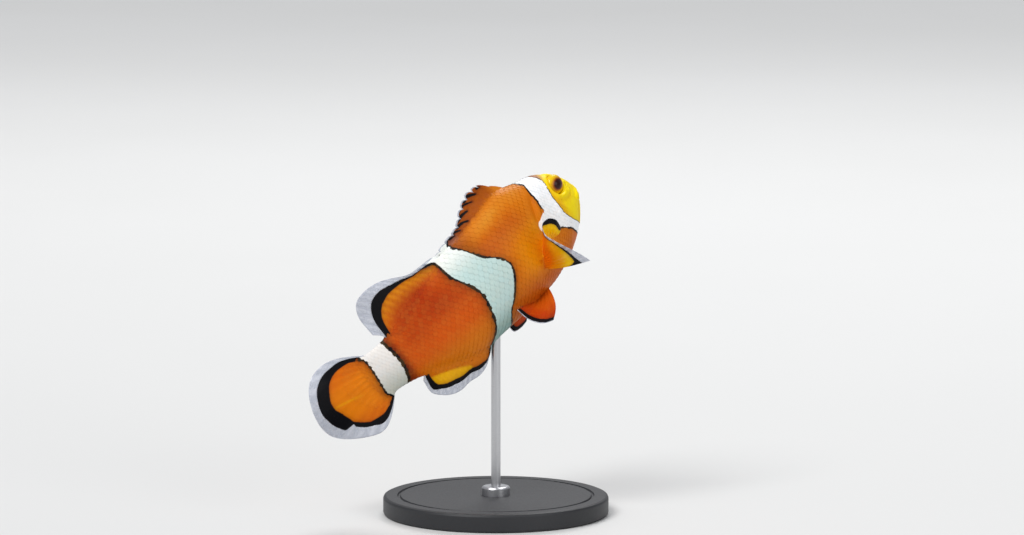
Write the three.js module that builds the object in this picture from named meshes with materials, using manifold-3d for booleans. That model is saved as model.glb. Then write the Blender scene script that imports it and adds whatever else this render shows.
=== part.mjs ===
// A common clownfish, Amphiprion ocellaris: a life-size still model that swims nose-up,
// with its tail swung to its left, over a round base and one thin rod.
//
// Millimetres, +Z up. The origin is the centre of the base's underside, on the axis of
// the rod. The fish is shaped straight along its backbone and then bent. A "station" is
// a place along it, 0 at the snout and 1 at the end of the backbone. Heights and widths
// in the tables are fractions of the standard length too.

import * as THREE from 'three';
import { mergeVertices } from 'three/addons/utils/BufferGeometryUtils.js';
import Module from 'manifold-3d';

const wasm = await Module();
wasm.setup();

// ---------------------------------------------------------------- driving dimensions

const standardLength = 65;
const gap = 0.3;
const finThicknessAtRoot = 0.9;
const finThicknessAtMargin = 0.55;
const slopeStep = 1e-3;
const weldDistance = 1e-4;

// How the fish hangs over its base: the middle of its backbone, and the way it points.
const middleHeight = 50;
const heading = THREE.MathUtils.degToRad(34);
const noseUp = THREE.MathUtils.degToRad(38);
const bank = THREE.MathUtils.degToRad(-3);

// Bends of the backbone as [station, radians for each standard length].
const bendSideways = [[0.1, 0.7], [0.35, 0.65], [0.6, 0.75], [0.78, 1.1], [0.93, 1.5],
  [1.08, -2.6], [1.25, -1.2]];
const bendUpright = [[0.15, -0.2], [0.5, -0.15], [0.85, 0], [1.1, 0.15]];
const bendTwist = [[0.3, 0], [0.7, 0.08], [1, 0]];
const spineStart = -0.1;
const spineEnd = 1.4;
const spineMiddle = 0.5;
const spineStep = 0.01;

// The body as [station, top, bottom, half width].
const bodyProfile = [
  [0, -0.012, -0.012, 0],
  [0.02, 0.045, -0.061, 0.036],
  [0.06, 0.090, -0.099, 0.057],
  [0.12, 0.132, -0.137, 0.076],
  [0.2, 0.161, -0.167, 0.090],
  [0.25, 0.181, -0.178, 0.094],
  [0.3, 0.194, -0.186, 0.096],
  [0.42, 0.183, -0.188, 0.093],
  [0.55, 0.170, -0.182, 0.081],
  [0.65, 0.152, -0.178, 0.067],
  [0.75, 0.124, -0.144, 0.051],
  [0.85, 0.092, -0.103, 0.034],
  [0.92, 0.080, -0.088, 0.024],
  [1, 0.082, -0.088, 0.012],
];
const narrowerAbove = 0.1;
const bodyRows = 36;
const bodySides = 24;
const rowsCrowdToSnout = 1.7;

// Cutting blocks: a box about the whole body with its segments along, across and up, and
// how far blocks across the body reach from its middle plane.
const spaceWidth = 0.24;
const spaceHeight = 0.5;
const spaceSegments = [8, 4, 12];
const blockReach = 0.3;
const ovalSegments = 14;

// Where the body is parted, as stations that curve with the height.
const gillOpening = 0.272;
const gillCurve = 2.2;
const tailRoot = 0.80;

const gillCover = { station: 0.210, up: -0.012, halfLength: 0.050, halfHeight: 0.105 };
const gillCoverDepth = 1;

// The outline of the lower jaw; only the points of its upper edge and rear edge move when
// it is grown.
const jawFront = -0.03;
const jawBelow = -0.2;
const jawEdge = [[jawFront, -0.014], [0.046, -0.022], [0.074, -0.062], [0.086, jawBelow],
  [jawFront, jawBelow]];

const eye = { station: 0.095, up: 0.067, radius: 2.2, halfDepth: 1.4, sunk: 0.8 };
const eyeSides = 16;
const eyeRows = 10;

// Unpaired fins: where they root, and their margin as [station, up] from front to rear.
const frontDorsal = {
  from: 0.232, to: 0.526, spines: 10, notch: 0.13, lean: 0.006,
  columns: 20, rows: 3,
  margin: [[0.262, 0.200], [0.318, 0.252], [0.342, 0.261], [0.372, 0.262], [0.402, 0.248],
    [0.432, 0.232], [0.458, 0.214], [0.484, 0.202], [0.515, 0.195], [0.550, 0.188],
    [0.580, 0.183]],
};
const rearDorsal = {
  from: 0.545, to: 0.868, spines: 0, notch: 0, lean: 0.012, columns: 16, rows: 4,
  margin: [[0.592, 0.183], [0.640, 0.192], [0.692, 0.203], [0.742, 0.229], [0.790, 0.250],
    [0.838, 0.257], [0.876, 0.240], [0.899, 0.190], [0.898, 0.120]],
};
const anal = {
  from: 0.612, to: 0.852, spines: 0, notch: 0, lean: 0.012, columns: 14, rows: 4,
  margin: [[0.632, -0.207], [0.668, -0.223], [0.706, -0.231], [0.742, -0.229],
    [0.777, -0.230], [0.812, -0.218], [0.843, -0.197], [0.865, -0.168], [0.862, -0.118]],
};
const finBuried = 0.03;

// The tail fin: its rays' roots, and its margin round from the upper corner to the lower.
const tailFin = {
  root: 0.95, rootHalfHeight: 0.076, rootMiddle: -0.003, columns: 24, rows: 5,
  margin: [[0.969, 0.084], [1.002, 0.106], [1.034, 0.122], [1.070, 0.133], [1.110, 0.135],
    [1.148, 0.127], [1.180, 0.107], [1.204, 0.077], [1.218, 0.042], [1.222, 0.003],
    [1.217, -0.036], [1.205, -0.072], [1.186, -0.104], [1.161, -0.131], [1.134, -0.151],
    [1.106, -0.165], [1.074, -0.174], [1.042, -0.167], [1.011, -0.146], [0.983, -0.119],
    [0.964, -0.096]],
};

// Paired fins: the root's two ends, how far the rays swell to the rear (cup) and the first
// ones outward (bow), and the tips of some rays as [ahead, up, outward].
const pectoral = {
  rootFront: [0.272, -0.020], rootRear: [0.333, -0.090], cup: 0.012, bow: 0.035,
  columns: 16, rows: 5,
  tips: [[0.031, 0.020, 0.065], [0.027, 0.068, 0.083], [0.015, 0.100, 0.082],
    [-0.004, 0.107, 0.078], [-0.025, 0.100, 0.113], [-0.024, 0.085, 0.157],
    [-0.010, 0.060, 0.187], [0.023, 0.020, 0.181], [0.052, -0.020, 0.175]],
};
const pelvicRight = {
  rootFront: [0.335, -0.163], rootRear: [0.378, -0.176], cup: 0.004, bow: 0.030,
  columns: 8, rows: 4,
  tips: [[-0.099, -0.060, 0.085], [-0.122, -0.036, 0.100], [-0.130, -0.013, 0.092],
    [-0.129, 0.015, 0.078], [-0.120, 0.055, 0.062]],
};
const pelvicLeft = {
  rootFront: [0.335, -0.163], rootRear: [0.378, -0.176], cup: 0.004, bow: 0,
  columns: 8, rows: 4,
  tips: [[-0.083, -0.089, 0.035], [-0.101, -0.090, 0.043], [-0.120, -0.081, 0.050],
    [-0.116, -0.060, 0.054], [-0.102, -0.038, 0.055]],
};
const rootSunk = 0.012;

// The stand: a round base, a collar on it, and a rod into the belly.
const base = { radius: 24, height: 4, chamfer: 0.6, wellDepth: 3 };
const collar = { radius: 3, height: 1.6, chamfer: 0.3 };
const rod = { radius: 1, station: 0.585, intoBelly: 4.5 };
const baseSides = 48;
const collarSides = 24;
const rodSides = 16;

// ------------------------------------------------------------------------- materials

function finish(colour, roughness, metalness = 0) {
  return new THREE.MeshStandardMaterial({ color: colour, roughness, metalness });
}

const orangeSkin = finish(0xc85a08, 0.4);
const yellowSkin = finish(0xe8c010, 0.4);
const finSkin = finish(0xd06a10, 0.45);
const tailSkin = finish(0xd8d8d4, 0.4);
const eyeGloss = finish(0x180806, 0.08);
const blackCoat = finish(0x17181a, 0.45);
const brushedSteel = finish(0xb8babd, 0.3, 1);

// -------------------------------------------------------------------------- backbone

/** The straight-line value at a station of a table of [station, value]. */
function along(table, station) {
  if (station <= table[0][0]) return table[0][1];
  for (let i = 1; i < table.length; i += 1) {
    const [before, from] = table[i - 1];
    const [after, to] = table[i];
    if (station <= after) return THREE.MathUtils.mapLinear(station, before, after, from, to);
  }
  return table[table.length - 1][1];
}

/** Where the backbone runs and how it is turned, at even steps along it. */
function layBackbone() {
  const count = Math.round((spineEnd - spineStart) / spineStep);
  const middle = Math.round((spineMiddle - spineStart) / spineStep);
  const links = [];
  links[middle] = { at: new THREE.Vector3(), turn: new THREE.Quaternion() };
  for (const way of [1, -1]) {
    for (let i = middle; i - way >= 0 && i - way <= count; i -= way) {
      const station = spineStart + (i - way / 2) * spineStep;
      const turned = (axis, table) => new THREE.Quaternion()
        .setFromAxisAngle(axis, way * spineStep * along(table, station));
      const turn = links[i].turn.clone()
        .multiply(turned(new THREE.Vector3(0, 0, 1), bendSideways))
        .multiply(turned(new THREE.Vector3(0, -1, 0), bendUpright))
        .multiply(turned(new THREE.Vector3(1, 0, 0), bendTwist));
      const ahead = new THREE.Vector3(1, 0, 0).applyQuaternion(links[i].turn)
        .add(new THREE.Vector3(1, 0, 0).applyQuaternion(turn))
        .setLength(way * spineStep * standardLength);
      links[i - way] = { at: links[i].at.clone().add(ahead), turn };
    }
  }
  return links.map(({ at, turn }) => ({
    at,
    left: new THREE.Vector3(0, 1, 0).applyQuaternion(turn),
    up: new THREE.Vector3(0, 0, 1).applyQuaternion(turn),
  }));
}

const backbone = layBackbone();

/** The bent place of a point of the straight fish; left and up are fractions. */
function bent(station, left, up) {
  const place = (station - spineStart) / spineStep;
  const i = THREE.MathUtils.clamp(Math.floor(place), 0, backbone.length - 2);
  const part = place - i;
  const mixed = (key) => backbone[i][key].clone().lerp(backbone[i + 1][key], part);
  return mixed('at')
    .addScaledVector(mixed('left'), left * standardLength)
    .addScaledVector(mixed('up'), up * standardLength);
}

// ------------------------------------------------------------------------ body shape

/** A column of the body's table at a station, smooth, and blunt at the snout. */
function profile(column, station) {
  const at = (i) => Math.sqrt(bodyProfile[i][0]);
  const value = (i) => bodyProfile[i][column];
  const last = bodyProfile.length - 1;
  const x = Math.sqrt(THREE.MathUtils.clamp(station, 0, 1));
  let i = 0;
  while (i < last - 1 && x > at(i + 1)) i += 1;
  const slope = (k) => {
    const low = Math.max(k - 1, 0);
    const high = Math.min(k + 1, last);
    return (value(high) - value(low)) / (at(high) - at(low));
  };
  const span = at(i + 1) - at(i);
  const t = (x - at(i)) / span;
  return value(i) * (1 + 2 * t) * (1 - t) ** 2 + value(i + 1) * t * t * (3 - 2 * t)
    + span * (slope(i) * t * (1 - t) ** 2 - slope(i + 1) * t * t * (1 - t));
}

const topAt = (station) => profile(1, station);
const bottomAt = (station) => profile(2, station);

/** The section of the body at a station: its middle height, half height, half width. */
function section(station) {
  const top = topAt(station);
  const bottom = bottomAt(station);
  return { middle: (top + bottom) / 2, reach: (top - bottom) / 2, half: profile(3, station) };
}

/** How far the body's side stands from its middle plane at a height. */
function sideAt(station, up) {
  const { middle, reach, half } = section(station);
  const rise = THREE.MathUtils.clamp((up - middle) / reach, -1, 1);
  return half * Math.sqrt(1 - rise * rise) * (1 - narrowerAbove * rise);
}

/** A geometry with each of its vertices moved by a function. */
function remade(geometry, move) {
  const place = geometry.attributes.position;
  for (let i = 0; i < place.count; i += 1) {
    const moved = move(new THREE.Vector3().fromBufferAttribute(place, i));
    place.setXYZ(i, moved.x, moved.y, moved.z);
  }
  return geometry;
}

/** A closed three.js geometry as a solid that can be cut and joined. */
function solid(geometry) {
  const bare = new THREE.BufferGeometry();
  bare.setAttribute('position', geometry.attributes.position.clone());
  if (geometry.index) bare.setIndex(geometry.index.clone());
  const welded = mergeVertices(bare, weldDistance);
  return new wasm.Manifold(new wasm.Mesh({
    numProp: 3,
    vertProperties: new Float32Array(welded.attributes.position.array),
    triVerts: new Uint32Array(welded.index.array),
  }));
}

/** The whole body without fins, grown on every side by some millimetres. */
function bodySolid(grow) {
  const more = grow / standardLength;
  const ball = new THREE.SphereGeometry(1, bodySides, bodyRows);
  return solid(remade(ball, (point) => {
    const row = Math.round((bodyRows * Math.acos(THREE.MathUtils.clamp(point.y, -1, 1))) / Math.PI);
    const fromSnout = (row / (bodyRows - 1)) ** rowsCrowdToSnout;
    const station = THREE.MathUtils.lerp(-more, 1 + more, Math.min(fromSnout, 1));
    const { middle, reach, half } = section(station);
    if (row === 0 || row === bodyRows) return bent(station, 0, middle);
    const angle = Math.atan2(point.z, point.x);
    const rise = Math.sin(angle);
    const across = -(half + more) * Math.cos(angle) * (1 - narrowerAbove * rise);
    return bent(station, across, middle + (reach + more) * rise);
  }));
}

/** All of the space between two stations that may curve with the height. */
function lengthOfSpace(from, to) {
  const box = new THREE.BoxGeometry(1, 1, 1, ...spaceSegments);
  return solid(remade(box, ({ x, y, z }) => {
    const up = spaceHeight * z;
    const station = THREE.MathUtils.lerp(from(up), to(up), 0.5 - x);
    return bent(station, spaceWidth * y, up);
  }));
}

/** A flat outline of [station, up] as a block across the fish from one side to another. */
function blockAcross(shape, fromLeft, toLeft) {
  const flat = new THREE.ExtrudeGeometry(shape, {
    depth: toLeft - fromLeft, steps: 1, bevelEnabled: false, curveSegments: ovalSegments,
  });
  return solid(remade(flat, ({ x, y, z }) => bent(x, fromLeft + z, y)));
}

// ------------------------------------------------------------------------------ fins

/** A thin closed plate over a surface(u, v), thinner towards its margin at v = 1. */
function plate(columns, rows, surface) {
  const before = (part) => Math.max(part - slopeStep, 0);
  const after = (part) => Math.min(part + slopeStep, 1);
  const sheet = new THREE.BoxGeometry(1, 1, 1, columns, rows, 1);
  return solid(remade(sheet, ({ x, y, z }) => {
    const u = x + 0.5;
    const v = y + 0.5;
    const alongRoot = surface(after(u), v).sub(surface(before(u), v));
    const alongRay = surface(u, after(v)).sub(surface(u, before(v)));
    const thickness = THREE.MathUtils.lerp(finThicknessAtRoot, finThicknessAtMargin, v);
    return surface(u, v).addScaledVector(alongRoot.cross(alongRay).normalize(), z * thickness);
  }));
}

/** A smooth curve through a fin's table of points. */
function smoothThrough(points) {
  const corners = points.map(([a, b, c = 0]) => new THREE.Vector3(a, b, c));
  return new THREE.CatmullRomCurve3(corners, false, 'catmullrom', 0.5);
}

/** A fin on the back or the belly, in the fish's middle plane. */
function unpairedFin(fin, edge) {
  const margin = smoothThrough(fin.margin);
  const inward = Math.sign(edge(fin.from));
  return plate(fin.columns, fin.rows, (u, v) => {
    const station = THREE.MathUtils.lerp(fin.from, fin.to, u);
    const root = new THREE.Vector3(station, edge(station) - inward * finBuried, 0);
    const tip = margin.getPoint(u);
    const between = 1 - Math.abs(Math.cos(Math.PI * fin.spines * u));
    const ray = root.lerp(tip, v * (1 - fin.notch * between ** 2));
    return bent(ray.x - fin.lean * Math.sin(Math.PI * v), 0, ray.y);
  });
}

/** The tail fin: rays that fan from the end of the backbone to a round margin. */
function fannedTail() {
  const margin = smoothThrough(tailFin.margin);
  return plate(tailFin.columns, tailFin.rows, (u, v) => {
    const up = tailFin.rootMiddle + (1 - 2 * u) * tailFin.rootHalfHeight;
    const ray = new THREE.Vector3(tailFin.root, up, 0).lerp(margin.getPoint(u), v);
    return bent(ray.x, 0, ray.y);
  });
}

/** A fin of a pair; side is 1 on the fish's left and -1 on its right. */
function pairedFin(fin, side) {
  const tips = smoothThrough(fin.tips);
  return plate(fin.columns, fin.rows, (u, v) => {
    const station = THREE.MathUtils.lerp(fin.rootFront[0], fin.rootRear[0], u);
    const up = THREE.MathUtils.lerp(fin.rootFront[1], fin.rootRear[1], u);
    const out = sideAt(station, up) - rootSunk;
    const tip = tips.getPoint(u);
    const swell = Math.sin(Math.PI * v);
    const aside = tip.z * v + fin.bow * swell * (1 - u) ** 2;
    return bent(station - tip.x * v + fin.cup * swell, side * (out + aside), up + tip.y * v);
  });
}

/** The biggest piece of a solid that a cut has left in several. */
function biggest(whole) {
  return whole.decompose().sort((a, b) => b.volume() - a.volume())[0];
}

// ------------------------------------------------------------------------------ model

const pose = new THREE.Euler(bank, -noseUp, heading, 'ZYX');
const rodFoot = bent(rod.station, 0, bottomAt(rod.station)).applyEuler(pose);

const fish = new THREE.Group();
fish.rotation.copy(pose);
fish.position.set(-rodFoot.x, -rodFoot.y, middleHeight);
fish.updateMatrixWorld(true);

const stand = new THREE.Group();
const model = new THREE.Group();
model.add(fish, stand);

function addSolid(group, name, made, material) {
  const { vertProperties, triVerts } = made.getMesh();
  const geometry = new THREE.BufferGeometry();
  geometry.setAttribute('position', new THREE.BufferAttribute(new Float32Array(vertProperties), 3));
  geometry.setIndex(new THREE.BufferAttribute(new Uint32Array(triVerts), 1));
  geometry.computeVertexNormals();
  const mesh = new THREE.Mesh(geometry, material);
  mesh.name = name;
  group.add(mesh);
}

function makeBody() {
  const whole = bodySolid(0);
  const half = gap / 2 / standardLength;
  const gill = (up) => gillOpening - gillCurve * (up - gillCover.up) ** 2;
  const before = () => spineStart + half;
  const after = () => spineEnd - half;
  const head = whole.intersect(lengthOfSpace(before, (up) => gill(up) - half));
  const trunk = whole.intersect(lengthOfSpace((up) => gill(up) + half, () => tailRoot - half));
  const peduncle = whole.intersect(lengthOfSpace(() => tailRoot + half, after));
  return { head, trunk, peduncle };
}

function ovalCover(grow) {
  const more = grow / standardLength;
  const shape = new THREE.Shape();
  shape.absellipse(gillCover.station, gillCover.up, gillCover.halfLength + more,
    gillCover.halfHeight + more, 0, 2 * Math.PI, false, 0);
  return shape;
}

/** Parts the two gill covers from the head and returns what is left of the head. */
function partGillCovers(head) {
  let rest = head;
  for (const [name, from, to] of [['left', 0, blockReach], ['right', -blockReach, 0]]) {
    const cover = head.intersect(blockAcross(ovalCover(0), from, to))
      .subtract(bodySolid(-gillCoverDepth));
    const cleared = blockAcross(ovalCover(gap), from, to)
      .subtract(bodySolid(-gillCoverDepth - gap));
    addSolid(fish, `gill_cover_${name}`, biggest(cover), orangeSkin);
    rest = rest.subtract(cleared);
  }
  return biggest(rest);
}

function jawOutline(grow) {
  const more = grow / standardLength;
  const outline = jawEdge.map(([station, up]) => new THREE.Vector2(
    station === jawFront ? station : station + more,
    up === jawBelow ? up : up + more,
  ));
  return new THREE.Shape(outline);
}

/** Parts the lower jaw from the head and returns what is left of the head. */
function partJaw(head) {
  const across = (grow) => blockAcross(jawOutline(grow), -blockReach, blockReach);
  addSolid(fish, 'lower_jaw', head.intersect(across(0)), yellowSkin);
  return head.subtract(across(gap));
}

/** A flattened ball where an eye sits, its short axis out of the head. */
function eyeBall(side, grow) {
  const at = bent(eye.station, side * sideAt(eye.station, eye.up), eye.up);
  const outward = at.clone().sub(bent(eye.station, 0, eye.up)).normalize();
  const ball = new THREE.SphereGeometry(1, eyeSides, eyeRows);
  ball.rotateX(Math.PI / 2);
  ball.scale(eye.radius + grow, eye.radius + grow, eye.halfDepth + grow);
  const turn = new THREE.Quaternion().setFromUnitVectors(new THREE.Vector3(0, 0, 1), outward);
  ball.applyQuaternion(turn);
  ball.translate(...at.addScaledVector(outward, -eye.sunk).toArray());
  return solid(ball);
}

function makeHead(whole) {
  let head = partJaw(partGillCovers(whole));
  for (const [name, side] of [['left', 1], ['right', -1]]) {
    addSolid(fish, `eye_${name}`, eyeBall(side, 0), eyeGloss);
    head = head.subtract(eyeBall(side, gap));
  }
  addSolid(fish, 'head', biggest(head), yellowSkin);
}

function makeTrunk(whole, rodTop) {
  const socket = new THREE.CylinderGeometry(rod.radius + gap, rod.radius + gap,
    rodTop + gap, rodSides);
  socket.rotateX(Math.PI / 2);
  socket.translate(0, 0, (rodTop + gap) / 2);
  socket.applyMatrix4(fish.matrixWorld.clone().invert());
  addSolid(fish, 'trunk', biggest(whole.subtract(solid(socket))), orangeSkin);
}

function makeFins() {
  const clearOfBody = bodySolid(gap);
  const fins = {
    dorsal_fin_front: unpairedFin(frontDorsal, topAt),
    dorsal_fin_rear: unpairedFin(rearDorsal, topAt),
    anal_fin: unpairedFin(anal, bottomAt),
    tail_fin: fannedTail(),
    pectoral_fin_left: pairedFin(pectoral, 1),
    pectoral_fin_right: pairedFin(pectoral, -1),
    pelvic_fin_left: pairedFin(pelvicLeft, 1),
    pelvic_fin_right: pairedFin(pelvicRight, -1),
  };
  for (const [name, made] of Object.entries(fins)) {
    addSolid(fish, name, biggest(made.subtract(clearOfBody)), finSkin);
  }
}

/** A turned ring or disc from its profile of [radius, height]. */
function turned(points, sides) {
  const profilePoints = points.map(([radius, height]) => new THREE.Vector2(radius, height));
  const ring = new THREE.LatheGeometry(profilePoints, sides);
  ring.rotateX(Math.PI / 2);
  return solid(ring);
}

function makeStand(rodTop) {
  const well = rod.radius + gap;
  const floor = base.height - base.wellDepth;
  addSolid(stand, 'stand_base', turned([[0, 0], [base.radius - base.chamfer, 0],
    [base.radius, base.chamfer], [base.radius, base.height - base.chamfer],
    [base.radius - base.chamfer, base.height], [well, base.height], [well, floor],
    [0, floor]], baseSides), blackCoat);

  const low = base.height + gap;
  const high = low + collar.height;
  addSolid(stand, 'stand_collar', turned([[well, low], [collar.radius, low],
    [collar.radius, high - collar.chamfer], [collar.radius - collar.chamfer, high],
    [well, high], [well, low]], collarSides), brushedSteel);

  const rodBottom = floor + gap;
  const bar = new THREE.CylinderGeometry(rod.radius, rod.radius, rodTop - rodBottom, rodSides);
  bar.rotateX(Math.PI / 2);
  bar.translate(0, 0, (rodTop + rodBottom) / 2);
  addSolid(stand, 'stand_rod', solid(bar), brushedSteel);
}

const rodTop = middleHeight + rodFoot.z + rod.intoBelly;
const body = makeBody();
makeHead(body.head);
makeTrunk(body.trunk, rodTop);
addSolid(fish, 'tail', body.peduncle, tailSkin);
makeFins();
makeStand(rodTop);

export default model;
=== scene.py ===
import math
from functools import reduce

import bmesh
import bpy
import numpy as np
from mathutils import Euler, Matrix, Quaternion, Vector
from mathutils.bvhtree import BVHTree
from mathutils.kdtree import KDTree


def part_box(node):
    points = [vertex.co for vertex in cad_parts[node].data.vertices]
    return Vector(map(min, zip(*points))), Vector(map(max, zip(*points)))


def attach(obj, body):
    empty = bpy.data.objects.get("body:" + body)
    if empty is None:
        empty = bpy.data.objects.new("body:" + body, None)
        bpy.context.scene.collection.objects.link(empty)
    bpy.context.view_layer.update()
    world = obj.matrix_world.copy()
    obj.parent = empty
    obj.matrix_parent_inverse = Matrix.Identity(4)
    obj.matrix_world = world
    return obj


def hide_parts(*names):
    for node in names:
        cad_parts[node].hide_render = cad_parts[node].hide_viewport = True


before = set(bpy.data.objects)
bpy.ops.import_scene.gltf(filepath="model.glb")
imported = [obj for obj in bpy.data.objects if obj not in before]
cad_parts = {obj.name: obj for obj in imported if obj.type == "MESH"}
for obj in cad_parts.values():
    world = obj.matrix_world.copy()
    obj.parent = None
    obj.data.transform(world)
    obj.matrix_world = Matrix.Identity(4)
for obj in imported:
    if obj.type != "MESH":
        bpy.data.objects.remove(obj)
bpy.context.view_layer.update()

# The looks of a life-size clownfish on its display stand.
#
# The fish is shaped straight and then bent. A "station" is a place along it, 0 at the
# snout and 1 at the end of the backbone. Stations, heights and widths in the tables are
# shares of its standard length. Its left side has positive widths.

MM = 0.001
LENGTH = 65 * MM

# ------------------------------------------------------------------ how the fish hangs

MIDDLE_HEIGHT = 50 * MM
HEADING = math.radians(34)
NOSE_UP = math.radians(38)
BANK = math.radians(-3)
ROD_STATION = 0.585

# Bends of the backbone as (station, radians for each standard length), and the stretch
# of stations that it is laid out over, from its middle both ways.
BEND_SIDEWAYS = [(0.1, 0.7), (0.35, 0.65), (0.6, 0.75), (0.78, 1.1), (0.93, 1.5),
                 (1.08, -2.6), (1.25, -1.2)]
BEND_UPRIGHT = [(0.15, -0.2), (0.5, -0.15), (0.85, 0), (1.1, 0.15)]
BEND_TWIST = [(0.3, 0), (0.7, 0.08), (1, 0)]
SPINE_START = -0.1
SPINE_END = 1.4
SPINE_MIDDLE = 0.5
SPINE_STEP = 0.01

# ------------------------------------------------------------------------- body shape

# (station, top, bottom, half width)
BODY_PROFILE = np.array([
    (0, -0.012, -0.012, 0),
    (0.02, 0.045, -0.061, 0.036),
    (0.06, 0.090, -0.099, 0.057),
    (0.12, 0.132, -0.137, 0.076),
    (0.2, 0.161, -0.167, 0.090),
    (0.25, 0.181, -0.178, 0.094),
    (0.3, 0.194, -0.186, 0.096),
    (0.42, 0.183, -0.188, 0.093),
    (0.55, 0.170, -0.182, 0.081),
    (0.65, 0.152, -0.178, 0.067),
    (0.75, 0.124, -0.144, 0.051),
    (0.85, 0.092, -0.103, 0.034),
    (0.92, 0.080, -0.088, 0.024),
    (1, 0.082, -0.088, 0.012),
])
NARROWER_ABOVE = 0.1
BODY_ROWS = 220
BODY_SIDES = 128
ROWS_CROWD_TO_SNOUT = 1.35
COAT_DEPTH = 0.12 * MM
LINE_STEPS = 4

# ------------------------------------------------------------------------------- head

EYE_PLACE = (0.095, 0.067)
EYE = {"radius": 2.2 * MM, "half_depth": 1.4 * MM, "sunk": 0.8 * MM,
       "lens": 0.10 * MM, "lens_radius": 0.8 * MM,
       "ring": 0.03 * MM, "ring_radius": 1.05 * MM, "ring_width": 0.12 * MM}
NOSTRIL = (0.052, 0.040)
MOUTH = [(-0.02, -0.0135), (0.02, -0.0165), (0.040, -0.022), (0.049, -0.031)]
FACE_PORES = [(0.088 + 0.052 * math.cos(turn), 0.062 + 0.056 * math.sin(turn))
              for turn in (-2.7, -2.3, -1.9, -1.5, -1.1, -0.7)]
UPPER_JAW = [(0.012, 0.004), (0.034, -0.008), (0.052, -0.026)]
EYE_SHELF = [(0.050, 0.022), (0.066, 0.014), (0.088, 0.012), (0.112, 0.018),
             (0.136, 0.034), (0.148, 0.056)]
JAW_FOLD = [(0.047, -0.036), (0.062, -0.050), (0.078, -0.066), (0.092, -0.086),
            (0.098, -0.106)]
CHEEK_EDGE = [(0.152, 0.055), (0.170, 0.010), (0.167, -0.045), (0.140, -0.088),
              (0.105, -0.106)]
GILL_EDGE = [(0.200, 0.120), (0.222, 0.096), (0.246, 0.056), (0.260, 0.012),
             (0.263, -0.030), (0.256, -0.078), (0.236, -0.118), (0.200, -0.146),
             (0.150, -0.150)]
PECTORAL_LOBE = [(0.268, -0.008), (0.300, -0.052), (0.332, -0.097)]

# Ridges above 0 and grooves below it that follow those lines and places, in
# millimetres: (height, how far behind the line, width).
LIP_RIDGES = [(0.26, 0.52, 0.34), (-0.55, 0, 0.17)]
JAW_RIDGE = [(0.18, 0, 0.45)]
NOSTRIL_RIDGES = [(-0.5, 0, 0.26), (0.16, 0.5, 0.18)]
SOCKET_RIMS = [(0.16, 2.5, 0.28), (-0.10, 3.1, 0.3)]
LOBE_RIDGE = [(0.35, 0, 0.8)]

# Creases of the face, with how strong the shade beside them is in the same way. Both
# fade at the ends of the line, before one share of it and past another.
CREASES = [
    {"line": EYE_SHELF, "ridges": [(0.20, 0.5, 0.6), (-0.16, -0.2, 0.3)], "fade": (0.2, 0.8),
     "shade": [(0.3, -0.3, 0.5)], "shade_fade": (0.3, 0.75)},
    {"line": JAW_FOLD, "ridges": [(0.10, -0.5, 0.5), (-0.15, 0, 0.25)], "fade": (0.15, 0.8),
     "shade": [(0.35, 0, 0.45)], "shade_fade": (0.2, 0.7)},
]
CHEEK_FADE = (0.12, 0.85)
GILL_FADE = (0.12, 0.8)
LOBE_FADE = (0.12, 0.88)
MOUTH_FADE, MOUTH_CORNER = (1.0, 0.86), (0.056, 0.044)
JAW_CORNER = (0.062, 0.05)

# Steps in the skin beside a line: (height, where it builds up, where it ends).
CHEEK_STEP = (0.24, (-2.4, -0.1), (0.12, -0.02))
GILL_STEP = (0.26, (-3.5, -0.2), (0.14, -0.04))
GILL_SLOT = (-0.38, (-0.04, 0.14), (1.6, 0.2))
SOCKET_DEPTH, SOCKET_WALL = -2.0, (2.25, 1.7)
GILL_FANS = {"centre": (0.16, 0.03), "count": 70, "height": 0.02, "from": (-4, -1.5)}
HEAD_ENDS = 0.2
GILLS_FROM, GILLS_TO = 0.12, 0.4

# ------------------------------------------------------------------------------- fins

# Each fin's table gives its rays, its rows of faces, and its thicknesses in millimetres:
# of the film, of a ray, and of the flesh at its root, which thins out over the taper. Its
# black and clear edges are rows of (place across the rays, width inside the margin), and
# its scales go from one share of the rays to another, at a pitch in millimetres.
FIN_BURIED = 0.03
ROOT_SUNK = 0.012
UPRIGHT_RIPPLE = (14, 2)
CLEAR_LAP = 0.004
CLEAR_ROWS = 6
COLUMNS_PER_RAY = 8
FRONT_DORSAL = {
    "rays": 10, "rows": 30, "film": 0.14, "ray": 0.30, "flesh": 1.0, "taper": 3.0,
    "from": 0.232, "to": 0.526, "spines": 10, "notch": 0.13, "lean": 0.006, "wave": 0.004,
    "margin": [(0.262, 0.200), (0.318, 0.252), (0.342, 0.261), (0.372, 0.262),
               (0.402, 0.248), (0.432, 0.232), (0.458, 0.214), (0.484, 0.202),
               (0.515, 0.195), (0.550, 0.188), (0.580, 0.183)],
    "clear": [(0, 0.002), (0.2, 0.005), (0.8, 0.004), (1, 0.002)],
    "streaks": [(0.25, [(0.316, 0.242), (0.330, 0.248)]),
                (0.40, [(0.343, 0.236), (0.364, 0.247), (0.382, 0.253), (0.390, 0.247)]),
                (0.27, [(0.368, 0.225), (0.396, 0.236), (0.420, 0.235), (0.434, 0.230)]),
                (0.31, [(0.400, 0.214), (0.422, 0.217), (0.450, 0.215)]),
                (0.28, [(0.421, 0.190), (0.441, 0.199), (0.466, 0.202)]),
                (0.22, [(0.462, 0.187), (0.484, 0.196)]),
                (0.20, [(0.487, 0.186), (0.509, 0.190)])],
}
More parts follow.
